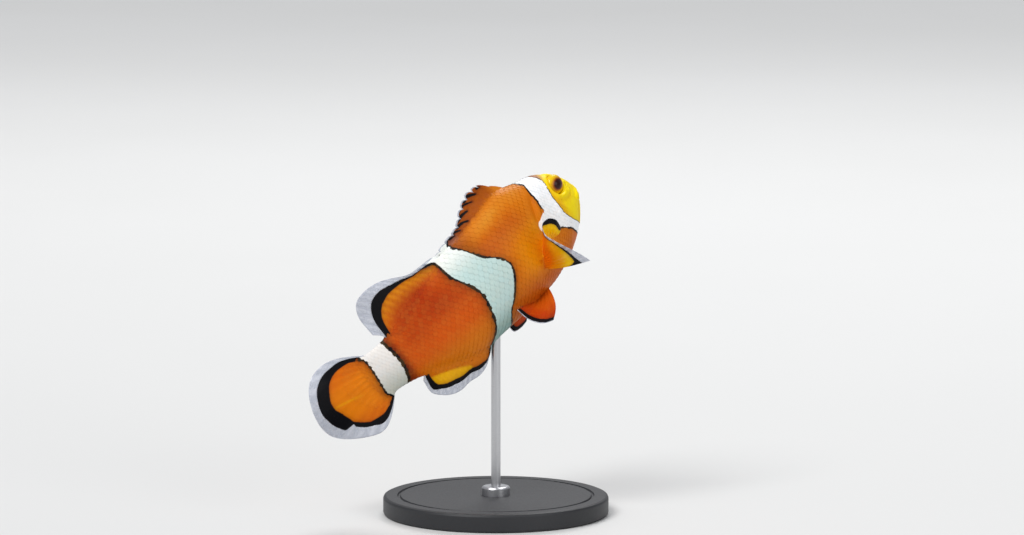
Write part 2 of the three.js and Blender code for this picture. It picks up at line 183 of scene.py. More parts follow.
REAR_DORSAL = {
    "rays": 15, "rows": 26, "film": 0.14, "ray": 0.12, "flesh": 1.5, "taper": 4.2,
    "from": 0.545, "to": 0.868, "spines": 0, "notch": 0, "lean": 0.012, "wave": 0.008,
    "margin": [(0.592, 0.183), (0.640, 0.192), (0.692, 0.203), (0.742, 0.229),
               (0.790, 0.250), (0.838, 0.257), (0.876, 0.240), (0.899, 0.190),
               (0.898, 0.120)],
    "black": [(0, 0.003), (0.22, 0.016), (0.317, 0.036), (0.483, 0.062), (0.64, 0.076),
              (0.747, 0.080), (0.85, 0.079), (0.933, 0.083), (1, 0.069)],
    "clear": [(0, 0.003), (0.22, 0.012), (0.32, 0.026), (0.47, 0.041), (0.57, 0.039),
              (0.67, 0.041), (0.77, 0.046), (0.873, 0.046), (0.957, 0.042), (1, 0.040)],
    "scales": (0.18, 0.62, 0.66),
}
ANAL = {
    "rays": 13, "rows": 20, "film": 0.14, "ray": 0.13, "flesh": 1.5, "taper": 4.0,
    "from": 0.612, "to": 0.852, "spines": 0, "notch": 0, "lean": 0.012, "wave": 0.006,
    "margin": [(0.632, -0.207), (0.668, -0.223), (0.706, -0.231), (0.742, -0.229),
               (0.777, -0.230), (0.812, -0.218), (0.843, -0.197), (0.865, -0.168),
               (0.862, -0.118)],
    "black": [(0, 0.003), (0.103, 0.016), (0.213, 0.029), (0.36, 0.040), (0.603, 0.042),
              (0.737, 0.034), (0.807, 0.031), (0.857, 0.036), (0.91, 0.041), (1, 0.056)],
    "clear": [(0, 0.003), (0.103, 0.010), (0.213, 0.0155), (0.36, 0.025), (0.603, 0.026),
              (0.77, 0.018), (0.85, 0.011), (0.907, 0.013), (1, 0.018)],
    "scales": (0.22, 0.66, 0.62),
}
TAIL_FIN = {
    "rays": 16, "rows": 36, "film": 0.15, "ray": 0.12, "flesh": 0.8, "taper": 2.4,
    "root": 0.95, "root_half_height": 0.076, "root_middle": -0.003, "wave": 0.010,
    "ripple": (11, 0.6), "wave_reach": 0.15, "scales": (0.10, 0.46, 0.66),
    "margin": [(0.969, 0.084), (1.002, 0.106), (1.034, 0.122), (1.070, 0.133),
               (1.110, 0.135), (1.148, 0.127), (1.180, 0.107), (1.204, 0.077),
               (1.218, 0.042), (1.222, 0.003), (1.217, -0.036), (1.205, -0.072),
               (1.186, -0.104), (1.161, -0.131), (1.134, -0.151), (1.106, -0.165),
               (1.074, -0.174), (1.042, -0.167), (1.011, -0.146), (0.983, -0.119),
               (0.964, -0.096)],
    "clear": [(0, 0.016), (0.05, 0.033), (0.15, 0.038), (0.203, 0.0455), (0.243, 0.041),
              (0.28, 0.0375), (0.313, 0.033), (0.40, 0.030), (0.437, 0.0295),
              (0.48, 0.0325), (0.567, 0.033), (0.607, 0.030), (0.626, 0.056),
              (0.645, 0.0455), (0.70, 0.0385), (0.753, 0.0375), (0.803, 0.031),
              (0.843, 0.030), (0.887, 0.0275), (0.953, 0.018), (1, 0.010)],
    "black": [(0, 0.06), (0.10, 0.11), (0.143, 0.112), (0.167, 0.083), (0.207, 0.086),
              (0.323, 0.082), (0.37, 0.0825), (0.423, 0.0765), (0.477, 0.077),
              (0.517, 0.081), (0.577, 0.075), (0.617, 0.065), (0.66, 0.0615),
              (0.717, 0.057), (0.757, 0.0635), (0.80, 0.069), (0.853, 0.075),
              (0.88, 0.072), (0.94, 0.06), (1, 0.05)],
}
PECTORAL = {
    "rays": 16, "rows": 24, "film": 0.14, "ray": 0.16, "flesh": 0.6, "taper": 1.2,
    "follow": 0.9,
    "front": (0.272, -0.020), "rear": (0.333, -0.090), "cup": 0.012, "bow": 0.035,
    "tips": [(0.031, 0.020, 0.065), (0.027, 0.068, 0.083), (0.015, 0.100, 0.082),
             (-0.004, 0.107, 0.078), (-0.025, 0.100, 0.113), (-0.024, 0.085, 0.157),
             (-0.010, 0.060, 0.187), (0.023, 0.020, 0.181), (0.052, -0.020, 0.175)],
    "black": [(0, 0.014), (0.05, 0.022), (0.28, 0.020), (0.39, 0.004), (0.46, 0.011),
              (0.6, 0.014), (0.75, 0.026), (0.94, 0.040), (0.975, 0.055), (1, 0.075)],
    "clear": [(0, 0.001), (0.34, 0.001), (0.42, 0.004), (0.5, 0.008), (0.6, 0.010),
              (0.75, 0.016), (0.9, 0.026), (1, 0.026)],
}
PELVIC_RIGHT = {
    "rays": 6, "rows": 20, "film": 0.20, "ray": 0.26, "flesh": 0.35, "taper": 0.7,
    "follow": 0.4,
    "front": (0.335, -0.163), "rear": (0.378, -0.176), "cup": 0.004, "bow": 0.030,
    "tips": [(-0.099, -0.060, 0.085), (-0.122, -0.036, 0.100), (-0.130, -0.013, 0.092),
             (-0.129, 0.015, 0.078), (-0.120, 0.055, 0.062)],
    "black": [(0, 0.012), (0.05, 0.016), (0.32, 0.020), (0.7, 0.022), (1, 0.020)],
    "clear": [(0, 0.002), (0.5, 0.003), (1, 0.003)],
}
PELVIC_LEFT = {
    **PELVIC_RIGHT, "bow": 0,
    "tips": [(-0.083, -0.089, 0.035), (-0.101, -0.090, 0.043), (-0.120, -0.081, 0.050),
             (-0.116, -0.060, 0.054), (-0.102, -0.038, 0.055)],
}

# --------------------------------------------------------------------------- markings

# Each white band: its front and rear edges from the back down, tables of how wide the
# black line along each is, as (share of the way down, millimetres), and how far the dark
# shade reaches ahead of it and behind it, in millimetres.
HEAD_BAND = {
    "front": [(0.146, 0.170), (0.142, 0.143), (0.133, 0.126), (0.129, 0.112),
              (0.134, 0.100), (0.140, 0.087), (0.148, 0.073), (0.153, 0.055),
              (0.157, 0.036), (0.157, 0.018), (0.156, -0.005), (0.149, -0.024),
              (0.135, -0.046), (0.116, -0.070), (0.084, -0.105), (0.06, -0.14)],
    "rear": [(0.206, 0.190), (0.200, 0.160), (0.192, 0.147), (0.198, 0.133),
             (0.203, 0.120), (0.207, 0.103), (0.213, 0.083), (0.216, 0.066),
             (0.220, 0.052), (0.236, 0.050), (0.252, 0.042), (0.266, 0.031),
             (0.268, 0.008), (0.244, -0.012), (0.203, -0.029), (0.178, -0.048),
             (0.156, -0.068), (0.140, -0.090), (0.110, -0.126), (0.090, -0.150)],
    "front_line": [(0, 0.16)],
    "rear_line": [(0, 0.36), (0.38, 0.40), (0.43, -0.15), (0.64, -0.15), (0.69, 0.30)],
    "shade": (0.25, 0.35),
}
MIDDLE_BAND = {
    "front": [(0.514, 0.24), (0.520, 0.195), (0.531, 0.175), (0.513, 0.147),
              (0.496, 0.115), (0.481, 0.087), (0.448, 0.055), (0.432, 0.025),
              (0.431, -0.003), (0.452, -0.044), (0.484, -0.089), (0.506, -0.109),
              (0.521, -0.146), (0.535, -0.22)],
    "rear": [(0.70, 0.222), (0.640, 0.192), (0.603, 0.176), (0.595, 0.160),
             (0.594, 0.114), (0.577, 0.076), (0.561, 0.038), (0.552, -0.005),
             (0.560, -0.058), (0.570, -0.111), (0.583, -0.140), (0.607, -0.171),
             (0.636, -0.22)],
    "front_line": [(0, 0.42)],
    "rear_line": [(0, 0.55)],
    "shade": (0.65, 0.95),
}
TAIL_BAND = {
    "front": [(0.900, 0.115), (0.892, 0.074), (0.886, 0.040), (0.884, -0.010),
              (0.893, -0.056), (0.906, -0.087), (0.915, -0.13)],
    "rear": [(0.990, 0.130), (0.975, 0.081), (0.965, 0.062), (0.966, 0.022),
             (0.972, -0.035), (0.976, -0.070), (0.966, -0.088), (0.960, -0.13)],
    "front_line": [(0, 0.70)],
    "rear_line": [(0, 0.42)],
    "shade": (0.9, 0.95),
}
BANDS = {"head_band": HEAD_BAND, "middle_band": MIDDLE_BAND, "tail_band": TAIL_BAND}
NO_BAND = -20.0
SHADE_STRENGTH, SHADE_SPREAD = 0.8, 0.95
EDGE_SHADE_STRENGTH, EDGE_SHADE_SPREAD = 0.55, 0.35


def srgb(red, green, blue):
    """A colour given as it shows on a screen, 0 to 255, for the shaders."""
    shown = np.array((red, green, blue)) / 255
    return np.where(shown <= 0.04045, shown / 12.92, ((shown + 0.055) / 1.055) ** 2.4)


FRONT_FLANK = srgb(212, 114, 2)
FRONT_FLANK_DEEP = srgb(206, 100, 2)
SHOULDER = srgb(238, 154, 4)
# Painted shade: a darker stripe high on the front flank, where the light from above falls
# brightest.
UPPER_FLANK = srgb(190, 82, 2)
UPPER_FLANK_REAR = srgb(160, 74, 6)
# Painted highlight: a pale stripe along the back at the spiny dorsal fin's base, and a pale
# sheen on the nape, where the light from above falls.
BACK_RIDGE_HIGHLIGHT = srgb(214, 136, 36)
DORSAL_BROWN = srgb(158, 70, 4)
NAPE = srgb(186, 132, 104)
# Painted shade: the breast and the underside of the head are darker, because the light from
# above falls short of them.
BREAST_SHADE = srgb(186, 84, 4)
REAR_FLANK = srgb(212, 84, 2)
REAR_FLANK_DEEP = srgb(162, 40, 0)
REAR_BELLY = srgb(218, 116, 4)
REAR_END = srgb(132, 30, 4)
FACE = srgb(252, 226, 4)
FACE_BY_BAND = srgb(238, 168, 8)
FACE_SHADE = srgb(222, 150, 6)
SOFT_DORSAL = srgb(228, 138, 6)
CAUDAL = srgb(240, 130, 2)
CAUDAL_EDGE = srgb(208, 90, 2)
ANAL_YELLOW = srgb(254, 188, 4)
PECTORAL_YELLOW = srgb(255, 210, 2)
PECTORAL_ORANGE = srgb(244, 116, 2)
PELVIC_RED = srgb(178, 52, 2)
PELVIC_ORANGE = srgb(196, 84, 6)
DARK_RED = srgb(74, 14, 2)
PINK_GREY = srgb(160, 98, 78)
WHITE_HEAD = srgb(249, 250, 252)
WHITE_TOP = srgb(238, 241, 236)
# Painted shade: the white of the middle and tail bands greys down the sides and towards the
# belly, as if lit from above.
WHITE_SIDE_SHADE = srgb(194, 220, 216)
WHITE_BELLY_SHADE = srgb(126, 160, 154)
WHITE_TAIL = srgb(238, 234, 230)
WHITE_TAIL_LOW_SHADE = srgb(200, 204, 194)
CLEAR_EDGE = srgb(176, 182, 198)
CLEAR_RAY = srgb(238, 240, 246)
CLEAR_CLOUD = srgb(150, 156, 176)
BLACK = srgb(6, 6, 11)
LINE_BLACK = srgb(11, 11, 16)
RUST_CLOUD = srgb(150, 60, 4)
GOLD_SPECK = srgb(250, 180, 60)
COOL_CLOUD = srgb(176, 196, 196)
AMBER_CLOUD = srgb(206, 110, 6)
PORE = srgb(120, 52, 4)
SCALE_RIM = srgb(90, 36, 8)
SCALE_GOLD = srgb(250, 190, 80)
IRIS = [(0.0, srgb(36, 5, 2)), (0.38, srgb(44, 8, 3)), (0.46, srgb(88, 24, 5)),
        (0.55, srgb(150, 84, 8)), (0.64, srgb(206, 146, 10)), (0.78, srgb(236, 198, 8)),
        (1.0, srgb(242, 208, 6))]
IRIS_SPOKE = srgb(186, 110, 10)
COAT_BLACK, COAT_GREY = srgb(30, 31, 34), srgb(44, 45, 49)
STEEL_DULL, STEEL_BRIGHT = srgb(176, 177, 180), srgb(216, 216, 218)
FLOOR_GREY, FLOOR_PALE = srgb(214, 214, 212), srgb(220, 220, 219)

# The yellow of the anal fin lies behind and below this line.
ANAL_YELLOW_LINE = [(0.70, -0.20), (0.712, -0.176), (0.750, -0.152), (0.781, -0.136),
                    (0.808, -0.125), (0.835, -0.118)]

BODY, FRONT_FIN, REAR_FIN, ANAL_FIN, CAUDAL_FIN, PECTORAL_FIN, PELVIC_FIN = range(1, 8)


# --------------------------------------------------------------------- curves and sums


def along(table, station):
    """The straight-line value at stations of a table of (station, value)."""
    places, values = np.transpose(table)
    return np.interp(station, places, values)


def ease(low, high, value):
    """0 at low, 1 at high and smooth between, also where high is below low."""
    share = np.clip((value - low) / (high - low), 0, 1)
    return share * share * (3 - 2 * share)


def fading(share, start, end):
    """1 along the middle of a line, fading to 0 at its ends before start and past end."""
    return ease(0, start, share) * ease(1, end, share)


def hump(distance, width):
    """1 at a distance of 0, fading to nothing past two widths."""
    return np.exp(-(distance / width) ** 2)


def ridges(gap, rows):
    """Ridges and grooves beside a line, from rows of (height, place, width)."""
    return sum(height * hump(gap - place, width) for height, place, width in rows)


def step(gap, height, rise, end):
    """A height that builds up over one stretch beside a line and ends over another."""
    return height * ease(*rise, gap) * ease(*end, gap)


def unit(vectors):
    """Rows of vectors, each brought to a length of 1."""
    return vectors / np.linalg.norm(vectors, axis=-1, keepdims=True)


def distances(line):
    """How far along a line of points each of them lies."""
    steps = np.linalg.norm(np.diff(line, axis=0), axis=1)
    return np.concatenate([[0], np.cumsum(steps)])


def cubic(t, start, end, leave, arrive):
    """A smooth way from start to end, with the slopes at which it leaves and arrives."""
    return (start * (1 + 2 * t) * (1 - t) ** 2 + end * t * t * (3 - 2 * t)
            + leave * t * (1 - t) ** 2 - arrive * t * t * (1 - t))


def smooth_through(points):
    """A smooth curve through points, as a function of a share from 0 to 1."""
    corners = np.array(points, float)
    line = np.vstack([2 * corners[0] - corners[1], corners, 2 * corners[-1] - corners[-2]])

    def at(share):
        place = np.clip(share, 0, 1) * (len(corners) - 1)
        i = np.minimum(place.astype(int), len(corners) - 2)
        start, end = line[i + 1], line[i + 2]
        return cubic((place - i)[..., None], start, end, (end - line[i]) / 2,
                     (line[i + 3] - start) / 2)

    return at


def offset_from(points, station, up):
    """Millimetres from a curve drawn on the fish's side: below 0 ahead of it, above 0
    behind it. Also the share of the way along the curve."""
    line = smooth_through(points)(np.linspace(0, 1, LINE_STEPS * len(points)))
    best = np.full(np.shape(station), np.inf)
    signed = np.zeros(np.shape(station))
    share = np.zeros(np.shape(station))
    for i, (start, end) in enumerate(zip(line[:-1], line[1:])):
        way = end - start
        ahead, above = station - start[0], up - start[1]
        t = np.clip((ahead * way[0] + above * way[1]) / (way @ way), 0, 1)
        gap = np.hypot(ahead - t * way[0], above - t * way[1])
        side = np.sign(above * way[0] - ahead * way[1])
        nearer = gap < best
        best = np.where(nearer, gap, best)
        signed = np.where(nearer, side * gap, signed)
        share = np.where(nearer, (i + t) / (len(line) - 1), share)
    return signed * LENGTH / MM, share


def gap_to(place, station, up):
    """Millimetres from one place on the fish's side."""
    return np.hypot(station - place[0], up - place[1]) * LENGTH / MM


def mouth_gap(station, up):
    """Millimetres from the slit of the mouth, and 1 along it, fading at its corner."""
    gap, share = offset_from(MOUTH, station, up)
    return gap, ease(*MOUTH_FADE, share) * ease(*MOUTH_CORNER, station)


# --------------------------------------------------------------- backbone and its bend


def profile(column, station):
    """A column of the body's table at stations, smooth, and blunt at the snout."""
    at = np.sqrt(BODY_PROFILE[:, 0])
    value = BODY_PROFILE[:, column]
    low = np.maximum(np.arange(len(at)) - 1, 0)
    high = np.minimum(np.arange(len(at)) + 1, len(at) - 1)
    slope = (value[high] - value[low]) / (at[high] - at[low])
    x = np.sqrt(np.clip(station, 0, 1))
    i = np.clip(np.searchsorted(at, x) - 1, 0, len(at) - 2)
    span = at[i + 1] - at[i]
    return cubic((x - at[i]) / span, value[i], value[i + 1], span * slope[i],
                 span * slope[i + 1])


def top_at(station):
    return profile(1, station)


def bottom_at(station):
    return profile(2, station)


def section(station):
    """The body's section at stations: middle height, half height and half width."""
    top, bottom = top_at(station), bottom_at(station)
    return (top + bottom) / 2, (top - bottom) / 2, profile(3, station)


def side_at(station, up):
    """How far the body's side stands from its middle plane at a height."""
    middle, reach, half = section(station)
    rise = np.clip((up - middle) / reach, -1, 1)
    return half * np.sqrt(1 - rise * rise) * (1 - NARROWER_ABOVE * rise)


def lay_backbone():
    """Rows of place, leftward and upward directions at even steps of the backbone."""
    count = round((SPINE_END - SPINE_START) / SPINE_STEP)
    middle = round((SPINE_MIDDLE - SPINE_START) / SPINE_STEP)
    forward = Vector((1, 0, 0))
    links = {middle: (Vector(), Quaternion())}
    for way in (1, -1):
        for i in range(middle, 0 if way > 0 else count, -way):
            at, turn = links[i]
            station = SPINE_START + (i - way / 2) * SPINE_STEP
            further = way * SPINE_STEP
            turned = (turn
                      @ Quaternion((0, 0, 1), further * along(BEND_SIDEWAYS, station))
                      @ Quaternion((0, -1, 0), further * along(BEND_UPRIGHT, station))
                      @ Quaternion((1, 0, 0), further * along(BEND_TWIST, station)))
            ahead = (turn @ forward + turned @ forward).normalized()
            links[i - way] = (at + ahead * (further * LENGTH), turned)
    pose = Euler((BANK, -NOSE_UP, HEADING), "XYZ").to_matrix()
    rows = []
    for i in range(count + 1):
        at, turn = links[i]
        left, up = turn @ Vector((0, 1, 0)), turn @ Vector((0, 0, 1))
        rows.append([*(pose @ at), *(pose @ left), *(pose @ up)])
    return np.array(rows)


SPINE = lay_backbone()


def bent(station, left, up):
    """The places on the posed fish of points of the straight one."""
    station, left, up = np.broadcast_arrays(station, left, up)
    place = (station - SPINE_START) / SPINE_STEP
    i = np.clip(np.floor(place).astype(int), 0, len(SPINE) - 2)
    part = (place - i)[..., None]
    mixed = SPINE[i] * (1 - part) + SPINE[i + 1] * part
    aside = left[..., None] * mixed[..., 3:6] + up[..., None] * mixed[..., 6:9]
    return mixed[..., 0:3] + LENGTH * aside


ROD_FOOT = bent(ROD_STATION, 0, bottom_at(ROD_STATION))
SPINE[:, 0:3] += (-ROD_FOOT[0], -ROD_FOOT[1], MIDDLE_HEIGHT)


def flank(station, angle):
    """The straight place of the body's surface: angle 0 is the left side, a right
    angle is the back."""
    middle, reach, half = section(station)
    rise = np.sin(angle)
    return station, half * np.cos(angle) * (1 - NARROWER_ABOVE * rise), middle + reach * rise


# ------------------------------------------------------------------------ fins' places


class Fin:
    """A fin's rays on the straight fish, by its table.

    place(u, v) gives station, left and up; u runs across the rays from the front one,
    and v out along them. A fin with streaks has those in place of a black edge."""

    # Shares of the space between two rays, or of the way out along them.
    RAY_WIDTH = 0.15
    RAY_SPLIT, SPLITS_FROM = 0.2, 0.35
    RAY_LOSS, LOSES_FROM = 0.85, 0.1
    FILM_LOSS = 0.6
    END_FLESH, END_SPAN = 0.3, 0.15
    STREAK_INNER, STREAK_GAIN = 0.6, 0.8
    NEARBY = 0.05

    def __init__(self, name, part, table, place):
        self.name = name
        self.part = part
        self.table = table
        self.rays = table["rays"]
        self.place = place

    def span(self, u):
        """The length of the rays, as a share of the fish's."""
        root, tip = np.array(self.place(u, 0 * u)), np.array(self.place(u, 0 * u + 1))
        return np.linalg.norm(tip - root, axis=0)

    def reach(self, u):
        """The length of the rays, in metres."""
        return self.span(u) * LENGTH

    def edge(self, kind, u):
        """The place v on each ray where its black or its clear edge starts."""
        return 1 - along(self.table[kind], u) / self.span(u)

    def at(self, u, v):
        return bent(*self.place(u, v))

    def black(self, u, v):
        """Millimetres inside the black parts, below 0 outside them."""
        if "black" in self.table:
            return (v - self.edge("black", u)) * self.reach(u) / MM
        station, _, up = self.place(u, v)
        inside = []
        for half, line in self.table["streaks"]:
            gap, share = offset_from(line, station, up)
            width = half * (self.STREAK_INNER + self.STREAK_GAIN * share)
            inside.append(width - np.abs(gap))
        return np.max(inside, axis=0)

    def normal(self, u, v):
        """Which way the fin is thick: sideways on a middle fin, and off the mean plane
        of the rays nearby on a paired one."""
        near = self.NEARBY
        if self.part < PECTORAL_FIN:
            station, left, up = self.place(u, v)
            return unit(bent(station, left + near, up) - bent(station, left, up))
        u = 0.5 + self.table["follow"] * (u - 0.5)
        v = near + (1 - 2 * near) * v
        return unit(np.cross(self.at(u + near, v) - self.at(u - near, v),
                             self.at(u, v + near) - self.at(u, v - near)))

    def half_thickness(self, u, v):
        """Film with rays that split in two outwards, and flesh at the root."""
        film, height, flesh, taper = (self.table[key] * MM
                                      for key in ("film", "ray", "flesh", "taper"))
        beside = u * self.rays - np.round(u * self.rays)
        split = self.RAY_SPLIT * ease(self.SPLITS_FROM, 1, v)
        ray = np.maximum(hump(beside - split, self.RAY_WIDTH),
                         hump(beside + split, self.RAY_WIDTH))
        fade = 1 - self.RAY_LOSS * ease(self.LOSES_FROM, 1, v)
        ends = ease(0, self.END_SPAN, np.minimum(u, 1 - u))
        flesh = flesh * hump(v * self.reach(u), taper)
        flesh = flesh * (self.END_FLESH + (1 - self.END_FLESH) * ends)
        return (film * (1 - self.FILM_LOSS * v) + height * fade * ray) / 2 + flesh


def upright_fin(table, edge):
    """The place function of a fin on the back or the belly."""
    margin = smooth_through(table["margin"])
    inward = math.copysign(1, edge(table["from"]))
    across, outward = UPRIGHT_RIPPLE

    def place(u, v):
        station = table["from"] + (table["to"] - table["from"]) * u
        root = edge(station) - inward * FIN_BURIED
        tip = margin(u)
        between = 1 - np.abs(np.cos(np.pi * table["spines"] * u))
        out = v * (1 - table["notch"] * between ** 2)
        wave = table["wave"] * v * v * np.sin(across * u + outward * v)
        lean = table["lean"] * np.sin(np.pi * v)
        return (station + (tip[..., 0] - station) * out - lean, wave,
                root + (tip[..., 1] - root) * out)

    return place


def fanned_tail():
    """The place function of the tail fin, whose rays fan out to a round margin."""
    margin = smooth_through(TAIL_FIN["margin"])
    across, start = TAIL_FIN["ripple"]

    def place(u, v):
        root = TAIL_FIN["root"]
        root_up = TAIL_FIN["root_middle"] + (1 - 2 * u) * TAIL_FIN["root_half_height"]
        tip = margin(u)
        station = root + (tip[..., 0] - root) * v
        up = root_up + (tip[..., 1] - root_up) * v
        out = np.hypot(station - root, up - root_up) / TAIL_FIN["wave_reach"]
        return station, TAIL_FIN["wave"] * out * out * np.sin(across * u + start), up

    return place


def paired_place(table, side):
    """The place function of a fin of a pair; side is 1 on the left, -1 on the right."""
    tips = smooth_through(table["tips"])
    front, rear = table["front"], table["rear"]

    def place(u, v):
        station = front[0] + (rear[0] - front[0]) * u
        up = front[1] + (rear[1] - front[1]) * u
        out = side_at(station, up) - ROOT_SUNK
        tip = tips(u)
        swell = np.sin(np.pi * v)
        aside = tip[..., 2] * v + table["bow"] * swell * (1 - u) ** 2
        return (station - tip[..., 0] * v + table["cup"] * swell, side * (out + aside),
                up + tip[..., 1] * v)

    return place


def make_fins():
    fins = [Fin(name, part, table, upright_fin(table, edge)) for name, part, table, edge in (
        ("dorsal_fin_front", FRONT_FIN, FRONT_DORSAL, top_at),
        ("dorsal_fin_rear", REAR_FIN, REAR_DORSAL, top_at),
        ("anal_fin", ANAL_FIN, ANAL, bottom_at))]
    fins.append(Fin("tail_fin", CAUDAL_FIN, TAIL_FIN, fanned_tail()))
    for name, part, table, side in (("pectoral_fin_left", PECTORAL_FIN, PECTORAL, 1),
                                    ("pectoral_fin_right", PECTORAL_FIN, PECTORAL, -1),
                                    ("pelvic_fin_left", PELVIC_FIN, PELVIC_LEFT, 1),
                                    ("pelvic_fin_right", PELVIC_FIN, PELVIC_RIGHT, -1)):
        fins.append(Fin(name, part, table, paired_place(table, side)))
    return fins


# ------------------------------------------------------------------------ mesh helpers


def places_in(bm):
    return np.array([vertex.co[:] for vertex in bm.verts])


def put(bm, places):
    for vertex, place in zip(bm.verts, places):
        vertex.co = place


def face_outward(bm):
    """Turns the faces of a closed shape outward."""
    bmesh.ops.recalc_face_normals(bm, faces=bm.faces[:])
    if bm.calc_volume(signed=True) < 0:
        bmesh.ops.reverse_faces(bm, faces=bm.faces[:])


def twin_grid(columns, rows):
    """A closed box made of two grids: x and y from 0 to 1, z from -1 to 1."""
    bm = bmesh.new()
    bmesh.ops.create_grid(bm, x_segments=columns, y_segments=rows, size=0.5,
                          matrix=Matrix.Translation((0.5, 0.5, -1)))
    raised = bmesh.ops.extrude_face_region(bm, geom=bm.faces[:])
    upper = [item for item in raised["geom"] if isinstance(item, bmesh.types.BMVert)]
    bmesh.ops.translate(bm, vec=(0, 0, 2), verts=upper)
    return bm


def in_scene(name, data):
    """A new object of the scene."""
    made = bpy.data.objects.new(name, data)
    bpy.context.scene.collection.objects.link(made)
    return made


def made_object(name, bm):
    mesh = bpy.data.meshes.new(name)
    bm.to_mesh(mesh)
    bm.free()
    mesh.shade_smooth()
    return in_scene(name, mesh)


def dress(piece, finish, slot, *nodes):
    """Gives a piece its finish and puts it in place of CAD nodes; its slot is not used.
    Every piece rides on the one body."""
    piece.data.materials.append(finish)
    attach(piece, "root")
    if nodes:
        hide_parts(*nodes)


FIELDS = {"FLOAT_VECTOR": ("vector", 3), "FLOAT_COLOR": ("color", 4)}


def write(mesh, name, kind, values):
    """Stores vectors or colours on a mesh's vertices."""
    made = mesh.attributes.new(name, kind, "POINT")
    field, _ = FIELDS[kind]
    made.data.foreach_set(field, np.ascontiguousarray(values, np.float32).ravel())


def read(mesh, name):
    """What a mesh's vertices store under a name."""
    stored = mesh.attributes[name]
    field, width = FIELDS[stored.data_type]
    values = np.zeros(len(mesh.vertices) * width, np.float32)
    stored.data.foreach_get(field, values)
    return values.reshape(-1, width)


# -------------------------------------------------------------------------------- skin


def creased(crease, rows, fade, station, up):
    """The relief or the shade of a crease, by the keys of its rows and of its fade."""
    gap, share = offset_from(crease["line"], station, up)
    return ridges(gap, crease[rows]) * fading(share, *crease[fade])


def head_relief(station, up):
    """How far the skin stands out on the head, in millimetres."""
    mouth, gape = mouth_gap(station, up)
    jaw, _ = offset_from(UPPER_JAW, station, up)
    cheek, share = offset_from(CHEEK_EDGE, station, up)
    eye = gap_to(EYE_PLACE, station, up)
    return (gape * ridges(np.abs(mouth), LIP_RIDGES)
            + ridges(jaw, JAW_RIDGE) * ease(*JAW_CORNER, station)
            + fading(share, *CHEEK_FADE) * step(cheek, *CHEEK_STEP)
            + SOCKET_DEPTH * ease(*SOCKET_WALL, eye) + ridges(eye, SOCKET_RIMS)
            + sum(creased(crease, "ridges", "fade", station, up) for crease in CREASES)
            + ridges(gap_to(NOSTRIL, station, up), NOSTRIL_RIDGES))


def gill_relief(station, up):
    """The gill cover's free edge, the slot behind it and the pectoral fin's lobe."""
    edge, share = offset_from(GILL_EDGE, station, up)
    lobe, lobe_share = offset_from(PECTORAL_LOBE, station, up)
    centre = GILL_FANS["centre"]
    turn = np.arctan2(up - centre[1], station - centre[0])
    fans = (GILL_FANS["height"] * np.sin(GILL_FANS["count"] * turn)
            * ease(*GILL_FANS["from"], edge))
    cover = step(edge, *GILL_STEP) + step(edge, *GILL_SLOT) + fans * (edge < 0)
    return (fading(share, *GILL_FADE) * cover
            + fading(lobe_share, *LOBE_FADE) * ridges(lobe, LOBE_RIDGE))


def body_shell():
    """The body without fins: a ball whose rows crowd to the snout. Also its facts, as
    rows of station, left, up, ray, millimetres inside black, v and part."""
    bm = bmesh.new()
    bmesh.ops.create_uvsphere(bm, u_segments=BODY_SIDES, v_segments=BODY_ROWS, radius=1)
    ball = places_in(bm)
    row = np.round(BODY_ROWS * np.arccos(np.clip(ball[:, 2], -1, 1)) / np.pi)
    pole = (row == 0) | (row == BODY_ROWS)
    angle = np.arctan2(ball[:, 1], ball[:, 0])
    station, left, up = flank((row / BODY_ROWS) ** ROWS_CROWD_TO_SNOUT, angle)
    left, up = np.where(pole, 0, left), np.where(pole, section(station)[0], up)
    put(bm, bent(station, left, up))
    face_outward(bm)
    bm.normal_update()
    normals = np.array([vertex.normal[:] for vertex in bm.verts])
    relief = (np.where(station < HEAD_ENDS, head_relief(station, up), 0)
              + np.where((station > GILLS_FROM) & (station < GILLS_TO),
                         gill_relief(station, up), 0))
    put(bm, places_in(bm) + normals * (relief * MM - COAT_DEPTH)[:, None])
    none = 0 * station
    facts = np.stack([station, left, up, none, none + NO_BAND, none, none + BODY], 1)
    return made_object("body_shell", bm), facts


def fin_plate(fin, name, clear=False):
    """A closed plate, thick at the rays and the root, and its facts: the fin's painted
    part, or its clear edge, which laps under the painted part."""
    bm = twin_grid(COLUMNS_PER_RAY * fin.rays, CLEAR_ROWS if clear else fin.table["rows"])
    u, share, face = np.clip(places_in(bm), (0, 0, -1), (1, 1, 1)).T
    edge = fin.edge("clear", u)
    start, end = (edge - CLEAR_LAP, 1) if clear else (0, edge)
    v = start + (end - start) * share
    thick = fin.half_thickness(u, v) * face
    put(bm, fin.at(u, v) + fin.normal(u, v) * thick[:, None])
    face_outward(bm)
    facts = np.stack([*fin.place(u, v), u * fin.rays, fin.black(u, v), v, 0 * u + fin.part], 1)
    return made_object(name, bm), facts


JOIN_SCALE = 1000
SAME_PLACE = 1e-4
SEAM_RINGS = 2
SEAM_PASSES = 4


